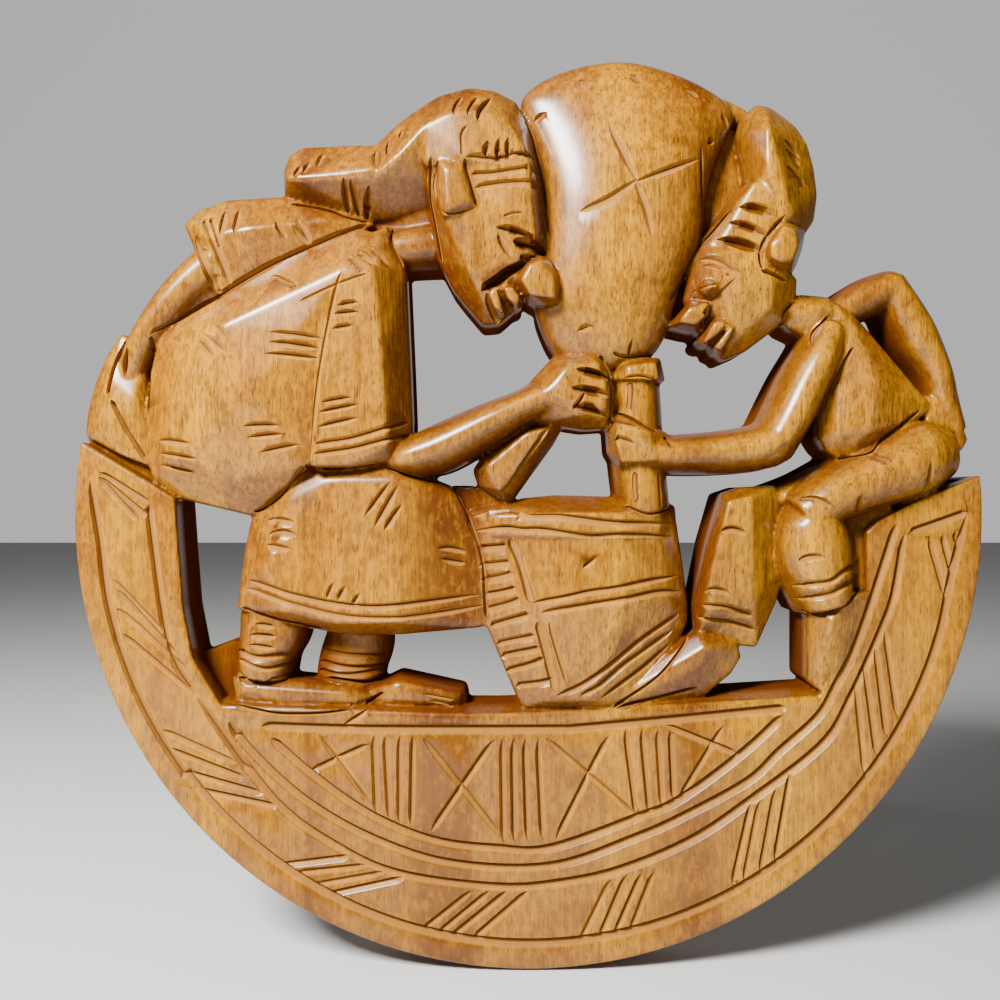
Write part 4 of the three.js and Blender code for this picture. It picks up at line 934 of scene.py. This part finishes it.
class Rim:
    """The crescent rim with the bench on top of it and its cut patterns."""

    BENCH_EDGE = ((-94.5, -59.0), (-50.5, -60.5), (-9.0, -61.5), (28.0, -59.5), (65.0, -57.5), (89.5, -56.0))
    LEFT_END = (-138.0, 23.0)
    RIGHT_END = (138.0, 12.5)

    def plate(self) -> bpy.types.Object:
        """Makes the flat crescent with a rounded edge."""
        start = math.atan2(self.LEFT_END[1], self.LEFT_END[0])
        end = math.atan2(self.RIGHT_END[1], self.RIGHT_END[0]) + 2 * math.pi
        outline = []
        for step in range(RIM_ARC_STEPS + 1):
            angle = start + (end - start) * step / RIM_ARC_STEPS
            outline.append((PLAQUE_RADIUS * math.cos(angle), PLAQUE_RADIUS * math.sin(angle)))
        inner = [(118.5, 4), (108, -1.5), (104, -5), (104, -23.5), (95.5, -43)]
        inner += list(reversed(self.BENCH_EDGE))
        inner += [(-103.5, -44), (-106.5, -28.5), (-108, -9), (-109, 5.5)]
        plan = outline + inner
        count = len(plan)
        points = [on_board(x, z, RIM_THICKNESS) for x, z in plan]
        points += [on_board(x, z, -UNDERCUT) for x, z in plan]
        faces: list[Sequence[int]] = [tuple(range(count)), tuple(range(2 * count - 1, count - 1, -1))]
        for i in range(count):
            j = (i + 1) % count
            faces.append((i, i + count, j + count, j))
        plate = mesh_object("rim plate", points, faces)
        self._face_out(plate)
        apply_modifier(
            plate,
            "BEVEL",
            width=RIM_EDGE_ROUNDING * MM,
            segments=3,
            limit_method="ANGLE",
            angle_limit=math.radians(40),
        )
        apply_modifier(plate, "TRIANGULATE")
        return plate

    @staticmethod
    def _face_out(target: bpy.types.Object) -> None:
        """Turns all faces of an object outwards."""
        select_only(target)
        bpy.ops.object.mode_set(mode="EDIT")
        bpy.ops.mesh.select_all(action="SELECT")
        bpy.ops.mesh.normals_make_consistent(inside=False)
        bpy.ops.object.mode_set(mode="OBJECT")

    def ledge(self) -> bpy.types.Object:
        """Makes the top of the bench, which slopes up from its front edge to the back."""
        sections = []
        for x, z in spline(self.BENCH_EDGE, 4):
            sections.append([
                on_board(x, z + LEDGE_RISE, -UNDERCUT),
                on_board(x, z + LEDGE_RISE, LEDGE_BACK_HEIGHT),
                on_board(x, z + 0.4, RIM_THICKNESS - 0.4),
                on_board(x, z - 4, RIM_THICKNESS - 1),
                on_board(x, z - 4, -UNDERCUT),
            ])
        ledge = loft("ledge", sections)
        self._face_out(ledge)
        apply_modifier(ledge, "TRIANGULATE")
        return ledge

    def cuts(self) -> list[Cut]:
        """The border lines, the hatching and the crossed panels."""
        border = [(-135.0, 11.0)]
        for step in range(1, 24):
            angle = math.pi - 0.08 + (math.pi + 0.08) * step / 24
            border.append((132.0 * math.cos(angle), 132.0 * math.sin(angle)))
        border.append((135.5, 1.0))
        return [
            *strokes(
                Edge.BAND,
                tuple(border),
                ((117, -5.5), (135.5, 1)),
                ((-117, 3.5), (-111, -38), (-103.5, -53)),
                (
                    (-102, -56), (-78.5, -87.5), (-59, -102), (-39.5, -110.5), (-9, -114.5), (11, -113),
                    (28.5, -109), (50, -100), (68, -88), (90.5, -70.5), (99.5, -56), (109, -35),
                    (113, -23.5), (116, -5.5),
                ),
                (
                    (-92.5, -63.5), (-84.5, -73.5), (-69, -87.5), (-49, -99), (-24.5, -107), (6.5, -108),
                    (33.5, -99), (50, -91.5), (68, -81.5), (77.5, -72.5), (89.5, -61.5), (95.5, -51),
                    (100.5, -41.5), (106, -26), (110, -13.5), (113.5, -2.5),
                ),
                (
                    (-79.5, -68.5), (-67, -79.5), (-49, -92), (-29.5, -100), (-10, -102.5), (6.5, -102.5),
                    (33.5, -93), (46.5, -87.5), (65.5, -73.5), (78.5, -61.5),
                ),
                ((-82.5, -65), (-49, -66), (6.5, -66), (17.5, -65.5), (50, -62.5), (79.5, -59.5)),
            ),
            *strokes(
                Edge.HATCH,
                ((-132.5, 13.5), (-116.5, 3.5)), ((-132.5, 12), (-117, -1)), ((-132.5, 11.5), (-120.5, -2)),
                ((-128.5, -19.5), (-111, -38)), ((-127.5, -22.5), (-108, -44)),
                ((-127, -28.5), (-104.5, -49)), ((-126, -36), (-103.5, -55)),
                ((-114, -66), (-89.5, -77)), ((-112.5, -71.5), (-86.5, -81.5)),
                ((-108, -78.5), (-81.5, -86)), ((-104.5, -84), (-76.5, -90)),
                ((-78, -108), (-54, -105)), ((-73, -110.5), (-49, -108)),
                ((-69, -114.5), (-43.5, -110)), ((-63, -117), (-37.5, -111.5)),
                ((-33.5, -128.5), (-17, -115.5)), ((-28.5, -129.5), (-11.5, -115.5)),
                ((-24.5, -130.5), (-6, -115.5)), ((-17.5, -131), (0.5, -115.5)),
                ((25.5, -112), (16, -131.5)), ((30.5, -110.5), (22, -130.5)),
                ((35, -110), (26.5, -129.5)), ((39, -109.5), (31.5, -128.5)),
                ((69, -88), (63, -114.5)), ((71.5, -87.5), (66.5, -113)),
                ((76.5, -83.5), (71.5, -110.5)), ((81, -78.5), (76, -107)),
                ((101, -50), (104, -80.5)), ((103.5, -44), (107.5, -74.5)),
                ((107, -39), (110.5, -68.5)), ((110, -34.5), (114, -62.5)),
                ((123.5, -6.5), (129, -25.5)), ((127.5, -5.5), (130.5, -17.5)), ((131.5, -4), (132.5, -9.5)),
                ((-47.5, -67.5), (-46.5, -92)), ((-44, -67.5), (-42.5, -94)),
                ((-39.5, -67.5), (-39.5, -95)), ((-35.5, -67.5), (-36, -96)),
                ((-8, -68.5), (-7.5, -101)), ((-4.5, -68.5), (-4, -101)),
                ((-1, -68.5), (0, -100.5)), ((3, -68.5), (4.5, -100)),
                ((30, -65.5), (33.5, -93)), ((35, -65.5), (37.5, -92)),
                ((40, -65.5), (41.5, -90)), ((44, -65.5), (45, -88)),
                ((-64, -67.5), (-48, -89)), ((-67.5, -79), (-49, -70.5)),
                ((-32.5, -68.5), (-8.5, -99)), ((-10.5, -69), (-30, -97.5)),
                ((5, -68.5), (33.5, -93)), ((25, -67.5), (8.5, -100)),
                ((41.5, -64.5), (65, -74)), ((60.5, -64.5), (46.5, -87.5)),
            ),
            *strokes(Edge.NICK, ((-57.5, -65), (-47.5, -59))),
        ]


class Carver:
    """Joins the masses into one board and cuts it."""

    LIFT = 0.5
    STEP = 1.6
    LIT = Vector((-0.6, 0.8))

    def __init__(self) -> None:
        """Starts with an unsteady but repeatable hand."""
        self._hand = random.Random(27)

    def join(self, masses: Sequence[bpy.types.Object], first: bpy.types.Object) -> bpy.types.Object:
        """Joins all masses into one solid.

        Args:
            masses: The closed masses to add.
            first: The solid that they are added to.

        Returns:
            The joined board.
        """
        self._boolean(first, masses, "UNION")
        first.name = "board"
        soften(first, 0.0)
        return first

    def carve(self, board: bpy.types.Object, cuts: Sequence[Cut]) -> BVHTree:
        """Cuts all strokes into the board and trims its back flat.

        Args:
            board: The joined board.
            cuts: All strokes.

        Returns:
            The face as it was before the cuts.
        """
        surface = BVHTree.FromObject(board, bpy.context.evaluated_depsgraph_get())
        chips = [chip for cut in cuts if (chip := self._chip(cut, surface))]
        bpy.ops.mesh.primitive_cube_add(size=1, location=(0, (UNDERCUT + 1) * MM, 0))
        slab = bpy.context.object
        slab.scale = (0.4, 2 * (UNDERCUT + 1) * MM, 0.4)
        bpy.ops.object.transform_apply(location=True, rotation=False, scale=True)
        self._boolean(board, [*chips, slab], "DIFFERENCE")
        return surface

    def _boolean(self, target: bpy.types.Object, tools: Sequence[bpy.types.Object], operation: str) -> None:
        """Adds the tools to the target, or takes them away, and deletes them."""
        group = bpy.data.collections.new("tools")
        for tool in tools:
            group.objects.link(tool)
        apply_modifier(
            target, "BOOLEAN", operation=operation, solver="MANIFOLD", operand_type="COLLECTION", collection=group
        )
        for tool in tools:
            bpy.data.objects.remove(tool)
        bpy.data.collections.remove(group)

    @staticmethod
    def _height(surface: BVHTree, x: float, z: float) -> float | None:
        """How far the face stands above the back at one place, or None over a gap."""
        hit, _, _, _ = surface.ray_cast(on_board(x, z, 60), Vector((0, 1, 0)))
        if hit is None or -hit.y / MM < 3:
            return None
        return -hit.y / MM

    def _chip(self, cut: Cut, surface: BVHTree) -> bpy.types.Object | None:
        """Makes the sliver that one stroke takes away, or None where it misses the wood."""
        width, depth, even, lean = cut.edge.value
        width *= cut.weight * self._hand.uniform(0.88, 1.12)
        depth *= cut.weight * self._hand.uniform(0.88, 1.12)
        length = sum(math.dist(a, b) for a, b in zip(cut.path, cut.path[1:]))
        spans = len(cut.path) - 1
        per_span = max(3, round(length / spans / self.STEP))
        run = spline(cut.path, per_span)
        lean += self._hand.uniform(-0.12, 0.12)
        sections = []
        last_height: float | None = None
        ramp = 0.5 * (1 - even)
        for i, (x, z) in enumerate(run):
            t = i / (len(run) - 1)
            fullness = min(1.0, min(t, 1 - t) / ramp if ramp else 1.0)
            fullness = max(0.03, math.sin(fullness * math.pi / 2) ** 0.8)
            height = self._height(surface, x, z)
            if height is None or (last_height is not None and height < last_height - 6):
                height = last_height
            if height is None:
                return None
            last_height = height
            before, after = run[max(i - 1, 0)], run[min(i + 1, len(run) - 1)]
            along = Vector((after[0] - before[0], after[1] - before[1])).normalized()
            half = 0.5 * width * fullness
            deep = max(0.04, depth * fullness)
            side = 1 if along.x * self.LIT.y - along.y * self.LIT.x > 0 else -1
            rise = self.LIFT / deep
            bottom = side * lean * half
            left, right = half + (half - bottom) * rise, -half - (half + bottom) * rise
            section = [(left, height + self.LIFT), (bottom, height - deep), (right, height + self.LIFT)]
            sections.append([on_board(x - along.y * s, z + along.x * s, h) for s, h in section])
        chip = loft("chip", sections)
        Rim._face_out(chip)
        apply_modifier(chip, "TRIANGULATE")
        return chip

    @staticmethod
    def mark_wear_and_shade(board: bpy.types.Object) -> None:
        """Stores on each vertex how hollow its surroundings are, above 0 in a crease and below 0 on a ridge, and how
        steep its face is; the material paints wear and highlight on ridges, and dirt and shade in creases and on
        steep faces, from them.
        """
        mesh = board.data
        count = len(mesh.vertices)
        places = np.empty(count * 3)
        mesh.vertices.foreach_get("co", places)
        places = places.reshape(-1, 3) / MM
        normals = np.empty(count * 3)
        mesh.vertex_normals.foreach_get("vector", normals)
        normals = normals.reshape(-1, 3)
        edges = np.empty(len(mesh.edges) * 2, dtype=np.int64)
        mesh.edges.foreach_get("vertices", edges)
        first, second = edges.reshape(-1, 2).T
        near = np.bincount(first, minlength=count) + np.bincount(second, minlength=count)
        even = places.copy()
        for _ in range(HOLLOW_PASSES):
            total = np.zeros_like(even)
            for axis in range(3):
                total[:, axis] = np.bincount(first, even[second, axis], count)
                total[:, axis] += np.bincount(second, even[first, axis], count)
            even = 0.5 * even + 0.5 * total / near[:, None]
        hollow = ((even - places) * normals).sum(axis=1)
        mark = mesh.attributes.new("hollow", "FLOAT", "POINT")
        mark.data.foreach_set("value", hollow.astype(np.float32))
        # How far each face turns from the front; the material paints shade on steep faces from it.
        steep = 1.0 - np.abs(normals[:, 1])
        mark = mesh.attributes.new("steep", "FLOAT", "POINT")
        mark.data.foreach_set("value", steep.astype(np.float32))

    @staticmethod
    def mark_cuts(board: bpy.types.Object, surface: BVHTree) -> None:
        """Stores on each vertex how deep below the uncut face it lies, from 0 to 1."""
        mesh = board.data
        mark = mesh.attributes.new("cut", "FLOAT", "POINT")
        normals = mesh.vertex_normals
        for vertex in mesh.vertices:
            place = vertex.co
            if normals[vertex.index].vector.y > -0.2:
                continue
            hit, _, _, _ = surface.ray_cast(Vector((place.x, -0.06, place.z)), Vector((0, 1, 0)))
            if hit is not None and 0.08 < (place.y - hit.y) / MM < 2.5:
                mark.data[vertex.index].value = min(1.0, (place.y - hit.y) / MM / 1.25)


class VarnishedWood:
    """Golden-brown striped hardwood under glossy varnish."""

    GOLD = (0.300, 0.110, 0.001)
    ORANGE = (0.135, 0.036, 0.001)
    TAN = (0.290, 0.112, 0.008)
    YELLOW = (0.470, 0.205, 0.001)
    RAISED_TONE = (0.600, 0.265, 0.010)
    BROWN = (0.070, 0.016, 0.001)
    # Dark red-brown for stain and painted shade in creases, on steep faces and on the walls of the gaps.
    RED_BROWN = (0.075, 0.014, 0.001)
    PINK = (0.50, 0.235, 0.055)
    # Near black for dirt and painted shade at the bottom of the cuts.
    DARK = (0.030, 0.007, 0.002)

    def build(self) -> bpy.types.Material:
        """Makes the material."""
        material = bpy.data.materials.new("varnished wood")
        material.use_nodes = True
        nodes, links = material.node_tree.nodes, material.node_tree.links
        shader = nodes["Principled BSDF"]
        place = nodes.new("ShaderNodeTexCoord").outputs["Object"]
        stripes = self._stripes(nodes, links, place)
        fibres = self._noise(nodes, links, place, (900, 900, 28), 1.0, 4, 0.6)
        mottle = self._noise(nodes, links, place, (160, 160, 90), 1.0, 3, 0.55)
        pores = self._noise(nodes, links, place, (2600, 2600, 260), 1.0, 1, 0.5)
        split = nodes.new("ShaderNodeSeparateXYZ")
        links.new(place, split.inputs[0])
        # Faces standing above the rim are mixed towards a lighter, yellower tone, the highest ones most.
        raised = self._range(nodes, links, split.outputs["Y"], -0.0212, -0.0275, 0.0, 0.4)
        colour = self._mix(nodes, links, stripes, self.RAISED_TONE, raised)
        colour = self._shade(nodes, links, colour, fibres, 0.42, 0.62, 0.34)
        colour = self._shade(nodes, links, colour, mottle, 0.45, 0.70, 0.34)
        colour = self._shade(nodes, links, colour, pores, 0.59, 0.67, 0.7)
        speckle = self._noise(nodes, links, place, (520, 520, 300), 1.0, 3, 0.6)
        colour = self._shade(nodes, links, colour, speckle, 0.48, 0.62, 0.38)
        colour = self._mix(nodes, links, colour, self.YELLOW, self._range(nodes, links, speckle, 0.46, 0.36, 0, 0.25))
        hollow = self._attribute(nodes, "hollow")
        # Painted highlight: ridges turn lighter yellow, partly rubbed wear and partly the highlight they catch.
        wear_and_highlight = self._range(nodes, links, hollow, -0.15, -0.5, 0.0, 0.12)
        colour = self._mix(nodes, links, colour, self.YELLOW, wear_and_highlight)
        # Painted shade: creases turn dark red-brown, partly stain gathered in them and partly the shade that falls
        # there.
        dirt_and_shade = self._range(nodes, links, hollow, 0.05, 0.4, 0.0, 0.85)
        colour = self._mix(nodes, links, colour, self.RED_BROWN, dirt_and_shade)
        cut = self._attribute(nodes, "cut")
        edge = self._range(nodes, links, cut, 0.05, 0.3, 0.0, 0.45)
        colour = self._mix(nodes, links, colour, self.PINK, edge)
        # Painted shade: the bottom of each cut turns near black, partly dirt and partly the shade deep in the groove.
        floor_of_cut = self._range(nodes, links, cut, 0.8, 1.0, 0.0, 0.75)
        colour = self._mix(nodes, links, colour, self.DARK, floor_of_cut)
        # Painted shade: steep faces turn dark red-brown, partly stain in the end grain and partly the shade on faces
        # turned from the light.
        steep = self._attribute(nodes, "steep")
        stain_and_shade = self._range(nodes, links, steep, 0.10, 0.55, 0.0, 0.75)
        colour = self._mix(nodes, links, colour, self.RED_BROWN, stain_and_shade)
        # Painted shade: the walls deep in the gaps turn dark red-brown, partly stain and partly the shade inside the
        # openings.
        wall = self._wall(nodes, links, place)
        links.new(self._mix(nodes, links, colour, self.RED_BROWN, wall), shader.inputs["Base Color"])
        gloss = self._range(nodes, links, mottle, 0.3, 0.7, 0.42, 0.55)
        links.new(gloss, shader.inputs["Roughness"])
        shader.inputs["Specular IOR Level"].default_value = 0.0
        varnish = nodes.new("ShaderNodeMath")
        varnish.operation = "MULTIPLY"
        dull = nodes.new("ShaderNodeMath")
        dull.operation = "MULTIPLY"
        links.new(self._range(nodes, links, hollow, 0.0, 0.3, 0.9, 0.1), dull.inputs[0])
        links.new(self._range(nodes, links, cut, 0.0, 0.12, 1.0, 0.08), dull.inputs[1])
        links.new(dull.outputs[0], varnish.inputs[0])
        links.new(self._range(nodes, links, wall, 0.0, 0.85, 1.0, 0.0), varnish.inputs[1])
        links.new(varnish.outputs[0], shader.inputs["Coat Weight"])
        shader.inputs["Coat Roughness"].default_value = 0.26
        shader.inputs["Coat IOR"].default_value = 1.52
        bump = nodes.new("ShaderNodeBump")
        bump.inputs["Strength"].default_value = 0.5
        bump.inputs["Distance"].default_value = 0.0006
        knife = self._noise(nodes, links, place, (75, 75, 60), 1.0, 2, 0.5)
        relief = nodes.new("ShaderNodeMath")
        relief.operation = "MULTIPLY_ADD"
        links.new(knife, relief.inputs[0])
        relief.inputs[1].default_value = 2.2
        links.new(fibres, relief.inputs[2])
        links.new(relief.outputs[0], bump.inputs["Height"])
        links.new(bump.outputs["Normal"], shader.inputs["Normal"])
        return material

    @staticmethod
    def _attribute(nodes: bpy.types.Nodes, name: str) -> bpy.types.NodeSocket:
        """Reads a value that is stored on the vertices."""
        reader = nodes.new("ShaderNodeAttribute")
        reader.attribute_name = name
        return reader.outputs["Fac"]

    @staticmethod
    def _noise(
        nodes: bpy.types.Nodes,
        links: bpy.types.NodeLinks,
        place: bpy.types.NodeSocket,
        scale: tuple[float, float, float],
        size: float,
        detail: float,
        roughness: float,
    ) -> bpy.types.NodeSocket:
        """Adds a noise stretched along the grain and returns its value."""
        mapping = nodes.new("ShaderNodeMapping")
        mapping.inputs["Scale"].default_value = scale
        links.new(place, mapping.inputs["Vector"])
        noise = nodes.new("ShaderNodeTexNoise")
        noise.inputs["Scale"].default_value = size
        noise.inputs["Detail"].default_value = detail
        noise.inputs["Roughness"].default_value = roughness
        links.new(mapping.outputs["Vector"], noise.inputs["Vector"])
        return noise.outputs["Fac"]

    @staticmethod
    def _range(
        nodes: bpy.types.Nodes,
        links: bpy.types.NodeLinks,
        value: bpy.types.NodeSocket,
        low: float,
        high: float,
        out_low: float,
        out_high: float,
    ) -> bpy.types.NodeSocket:
        """Maps a value from one range to another, clamped."""
        ranger = nodes.new("ShaderNodeMapRange")
        links.new(value, ranger.inputs["Value"])
        ranger.inputs["From Min"].default_value = low
        ranger.inputs["From Max"].default_value = high
        ranger.inputs["To Min"].default_value = out_low
        ranger.inputs["To Max"].default_value = out_high
        return ranger.outputs["Result"]

    @staticmethod
    def _mix(
        nodes: bpy.types.Nodes,
        links: bpy.types.NodeLinks,
        colour: bpy.types.NodeSocket,
        other: tuple[float, float, float],
        share: bpy.types.NodeSocket,
    ) -> bpy.types.NodeSocket:
        """Mixes a fixed colour into a colour by a share."""
        mix = nodes.new("ShaderNodeMix")
        mix.data_type = "RGBA"
        links.new(share, mix.inputs["Factor"])
        links.new(colour, mix.inputs["A"])
        mix.inputs["B"].default_value = (*other, 1.0)
        return mix.outputs["Result"]

    def _shade(
        self,
        nodes: bpy.types.Nodes,
        links: bpy.types.NodeLinks,
        colour: bpy.types.NodeSocket,
        value: bpy.types.NodeSocket,
        low: float,
        high: float,
        strength: float,
    ) -> bpy.types.NodeSocket:
        """Darkens a colour towards brown where a noise is high."""
        return self._mix(nodes, links, colour, self.BROWN, self._range(nodes, links, value, low, high, 0, strength))

    def _stripes(
        self, nodes: bpy.types.Nodes, links: bpy.types.NodeLinks, place: bpy.types.NodeSocket
    ) -> bpy.types.NodeSocket:
        """Lays the vertical ribbons of the board: lighter and darker bands from left to right."""
        ribbons = (
            (-138, self.TAN), (-124, self.YELLOW), (-112, self.GOLD), (-96, self.YELLOW), (-93, self.TAN),
            (-85, self.TAN), (-83, self.GOLD), (-72, self.GOLD), (-70, self.ORANGE), (-60, self.GOLD),
            (-57, self.TAN), (-40, self.TAN), (-37, self.GOLD), (-31, self.ORANGE), (-16, self.ORANGE),
            (-13, self.TAN), (18, self.TAN), (27, self.YELLOW), (42, self.GOLD), (52, self.ORANGE),
            (58, self.TAN), (70, self.YELLOW), (88, self.YELLOW), (103, self.TAN), (110, self.GOLD),
            (122, self.YELLOW), (138, self.GOLD),
        )
        wave = self._noise(nodes, links, place, (22, 5, 7), 1.0, 2, 0.5)
        split = nodes.new("ShaderNodeSeparateXYZ")
        links.new(place, split.inputs[0])
        shifted = nodes.new("ShaderNodeMath")
        shifted.operation = "MULTIPLY_ADD"
        links.new(wave, shifted.inputs[0])
        shifted.inputs[1].default_value = 0.016
        links.new(split.outputs["X"], shifted.inputs[2])
        share = self._range(nodes, links, shifted.outputs[0], -0.132, 0.148, 0.0, 1.0)
        ramp = nodes.new("ShaderNodeValToRGB")
        links.new(share, ramp.inputs["Fac"])
        stops = ramp.color_ramp.elements
        for i, (x, tone) in enumerate(ribbons):
            spot = (x + PLAQUE_RADIUS) / (2 * PLAQUE_RADIUS)
            stop = stops[i] if i < 2 else stops.new(spot)
            stop.position = spot
            stop.color = (*tone, 1.0)
        return ramp.outputs["Color"]

    def _wall(
        self, nodes: bpy.types.Nodes, links: bpy.types.NodeLinks, place: bpy.types.NodeSocket
    ) -> bpy.types.NodeSocket:
        """Marks the walls of the gaps and what lies near the back, where the colour turns dark with stain and painted
        shade, and the varnish dull.
        """
        split = nodes.new("ShaderNodeSeparateXYZ")
        links.new(place, split.inputs[0])
        reach = nodes.new("ShaderNodeVectorMath")
        reach.operation = "LENGTH"
        links.new(place, reach.inputs[0])
        share = self._range(nodes, links, split.outputs["Y"], -0.0165, -0.0125, 0.0, 0.85)
        for limit in (
            self._range(nodes, links, split.outputs["Y"], -0.0008, -0.0002, 1.0, 0.1),
            self._range(nodes, links, reach.outputs["Value"], 0.1370, 0.1392, 1.0, 0.3),
        ):
            product = nodes.new("ShaderNodeMath")
            product.operation = "MULTIPLY"
            links.new(share, product.inputs[0])
            links.new(limit, product.inputs[1])
            share = product.outputs[0]
        return share


class Studio:
    """The pale floor, the soft light and the camera in front."""

    CAMERA_SPOT = (-8.8, 4.8)
    CAMERA_HEIGHT = 320.0
    HALF_VIEW = 154.0 / 300.0

    def build(self, lowest: float) -> None:
        """Sets the floor, the lights, the world and the camera.

        Args:
            lowest: The lowest z of the plaque, in metres.
        """
        self._floor(lowest)
        self._light("key", (-0.36, -0.46, 0.46), 23.0, 0.2)
        self._light("fill", (0.6, -0.7, 0.1), 0.5, 0.7)
        self._world()
        self._camera()

    @staticmethod
    def _floor(lowest: float) -> None:
        """Lays the pale floor under the plaque."""
        bpy.ops.mesh.primitive_plane_add(size=6, location=(0, 0, lowest - 0.0005))
        floor = bpy.context.object
        floor.name = "floor"
        paint = bpy.data.materials.new("pale floor")
        paint.use_nodes = True
        shader = paint.node_tree.nodes["Principled BSDF"]
        shader.inputs["Base Color"].default_value = (0.62, 0.615, 0.60, 1.0)
        shader.inputs["Roughness"].default_value = 0.9
        floor.data.materials.append(paint)
        floor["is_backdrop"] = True

    @staticmethod
    def _light(name: str, place: tuple[float, float, float], power: float, size: float) -> None:
        """Adds a square soft light aimed at the plaque."""
        bpy.ops.object.light_add(type="AREA", location=place)
        lamp = bpy.context.object
        lamp.name = name
        lamp.data.energy = power
        lamp.data.size = size
        lamp.rotation_mode = "QUATERNION"
        lamp.rotation_quaternion = (-Vector(place)).to_track_quat("-Z", "Y")

    @staticmethod
    def _world() -> None:
        """Sets an even pale surround."""
        world = bpy.data.worlds.new("pale room")
        world.use_nodes = True
        nodes, links = world.node_tree.nodes, world.node_tree.links
        sky = nodes["Background"]
        sky.inputs["Color"].default_value = (0.93, 0.93, 0.92, 1.0)
        split = nodes.new("ShaderNodeSeparateXYZ")
        links.new(nodes.new("ShaderNodeTexCoord").outputs["Generated"], split.inputs[0])
        fade = nodes.new("ShaderNodeMapRange")
        fade.interpolation_type = "SMOOTHSTEP"
        links.new(split.outputs["Y"], fade.inputs["Value"])
        fade.inputs["From Min"].default_value = 0.3
        fade.inputs["From Max"].default_value = 0.9
        fade.inputs["To Min"].default_value = 0.07
        fade.inputs["To Max"].default_value = 0.6
        links.new(fade.outputs["Result"], sky.inputs["Strength"])
        bpy.context.scene.world = world

    def _camera(self) -> None:
        """Sets the camera square in front of the plaque, a little left of its middle."""
        x, z = self.CAMERA_SPOT
        bpy.ops.object.camera_add(location=on_board(x, z, self.CAMERA_HEIGHT))
        camera = bpy.context.object
        camera.rotation_euler = (math.radians(90), 0, 0)
        camera.data.sensor_width = 36.0
        camera.data.lens = 18.0 / self.HALF_VIEW
        camera.data.clip_start = 0.01
        bpy.context.scene.camera = camera


class Plaque:
    """The whole carving."""

    def build(self) -> bpy.types.Object:
        """Returns:
            The finished object.
        """
        rim = Rim()
        groups = [BigFigure(), MortarAndPestles(), Crown(), SmallFigure()]
        masses = [mass.build() for group in groups for mass in group.masses()]
        LOG.info("made %d masses", len(masses))
        carver = Carver()
        board = carver.join([*masses, rim.ledge()], rim.plate())
        LOG.info("joined them: %d faces", len(board.data.polygons))
        faces = len(board.data.polygons)
        cuts = [cut for group in [rim, *groups] for cut in group.cuts()]
        surface = carver.carve(board, cuts)
        LOG.info("carved %d cuts: %d faces", len(cuts), len(board.data.polygons))
        apply_modifier(board, "TRIANGULATE")
        faces = len(board.data.polygons)
        if faces > FINISHED_TRIANGLES:
            apply_modifier(board, "DECIMATE", ratio=FINISHED_TRIANGLES / faces)
        carver.mark_wear_and_shade(board)
        carver.mark_cuts(board, surface)
        board.name = "wall_plaque"
        board.data.materials.clear()
        board.data.materials.append(VarnishedWood().build())
        select_only(board)
        bpy.ops.object.shade_smooth_by_angle(angle=math.radians(32))
        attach(board, "root")
        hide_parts(NODE)
        return board


def main() -> None:
    """Builds the plaque and the studio."""
    logging.basicConfig(level=logging.INFO, format="%(name)s: %(message)s")
    Plaque().build()
    low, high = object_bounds()
    Studio().build(low.z)


if __name__ == "__main__":
    main()
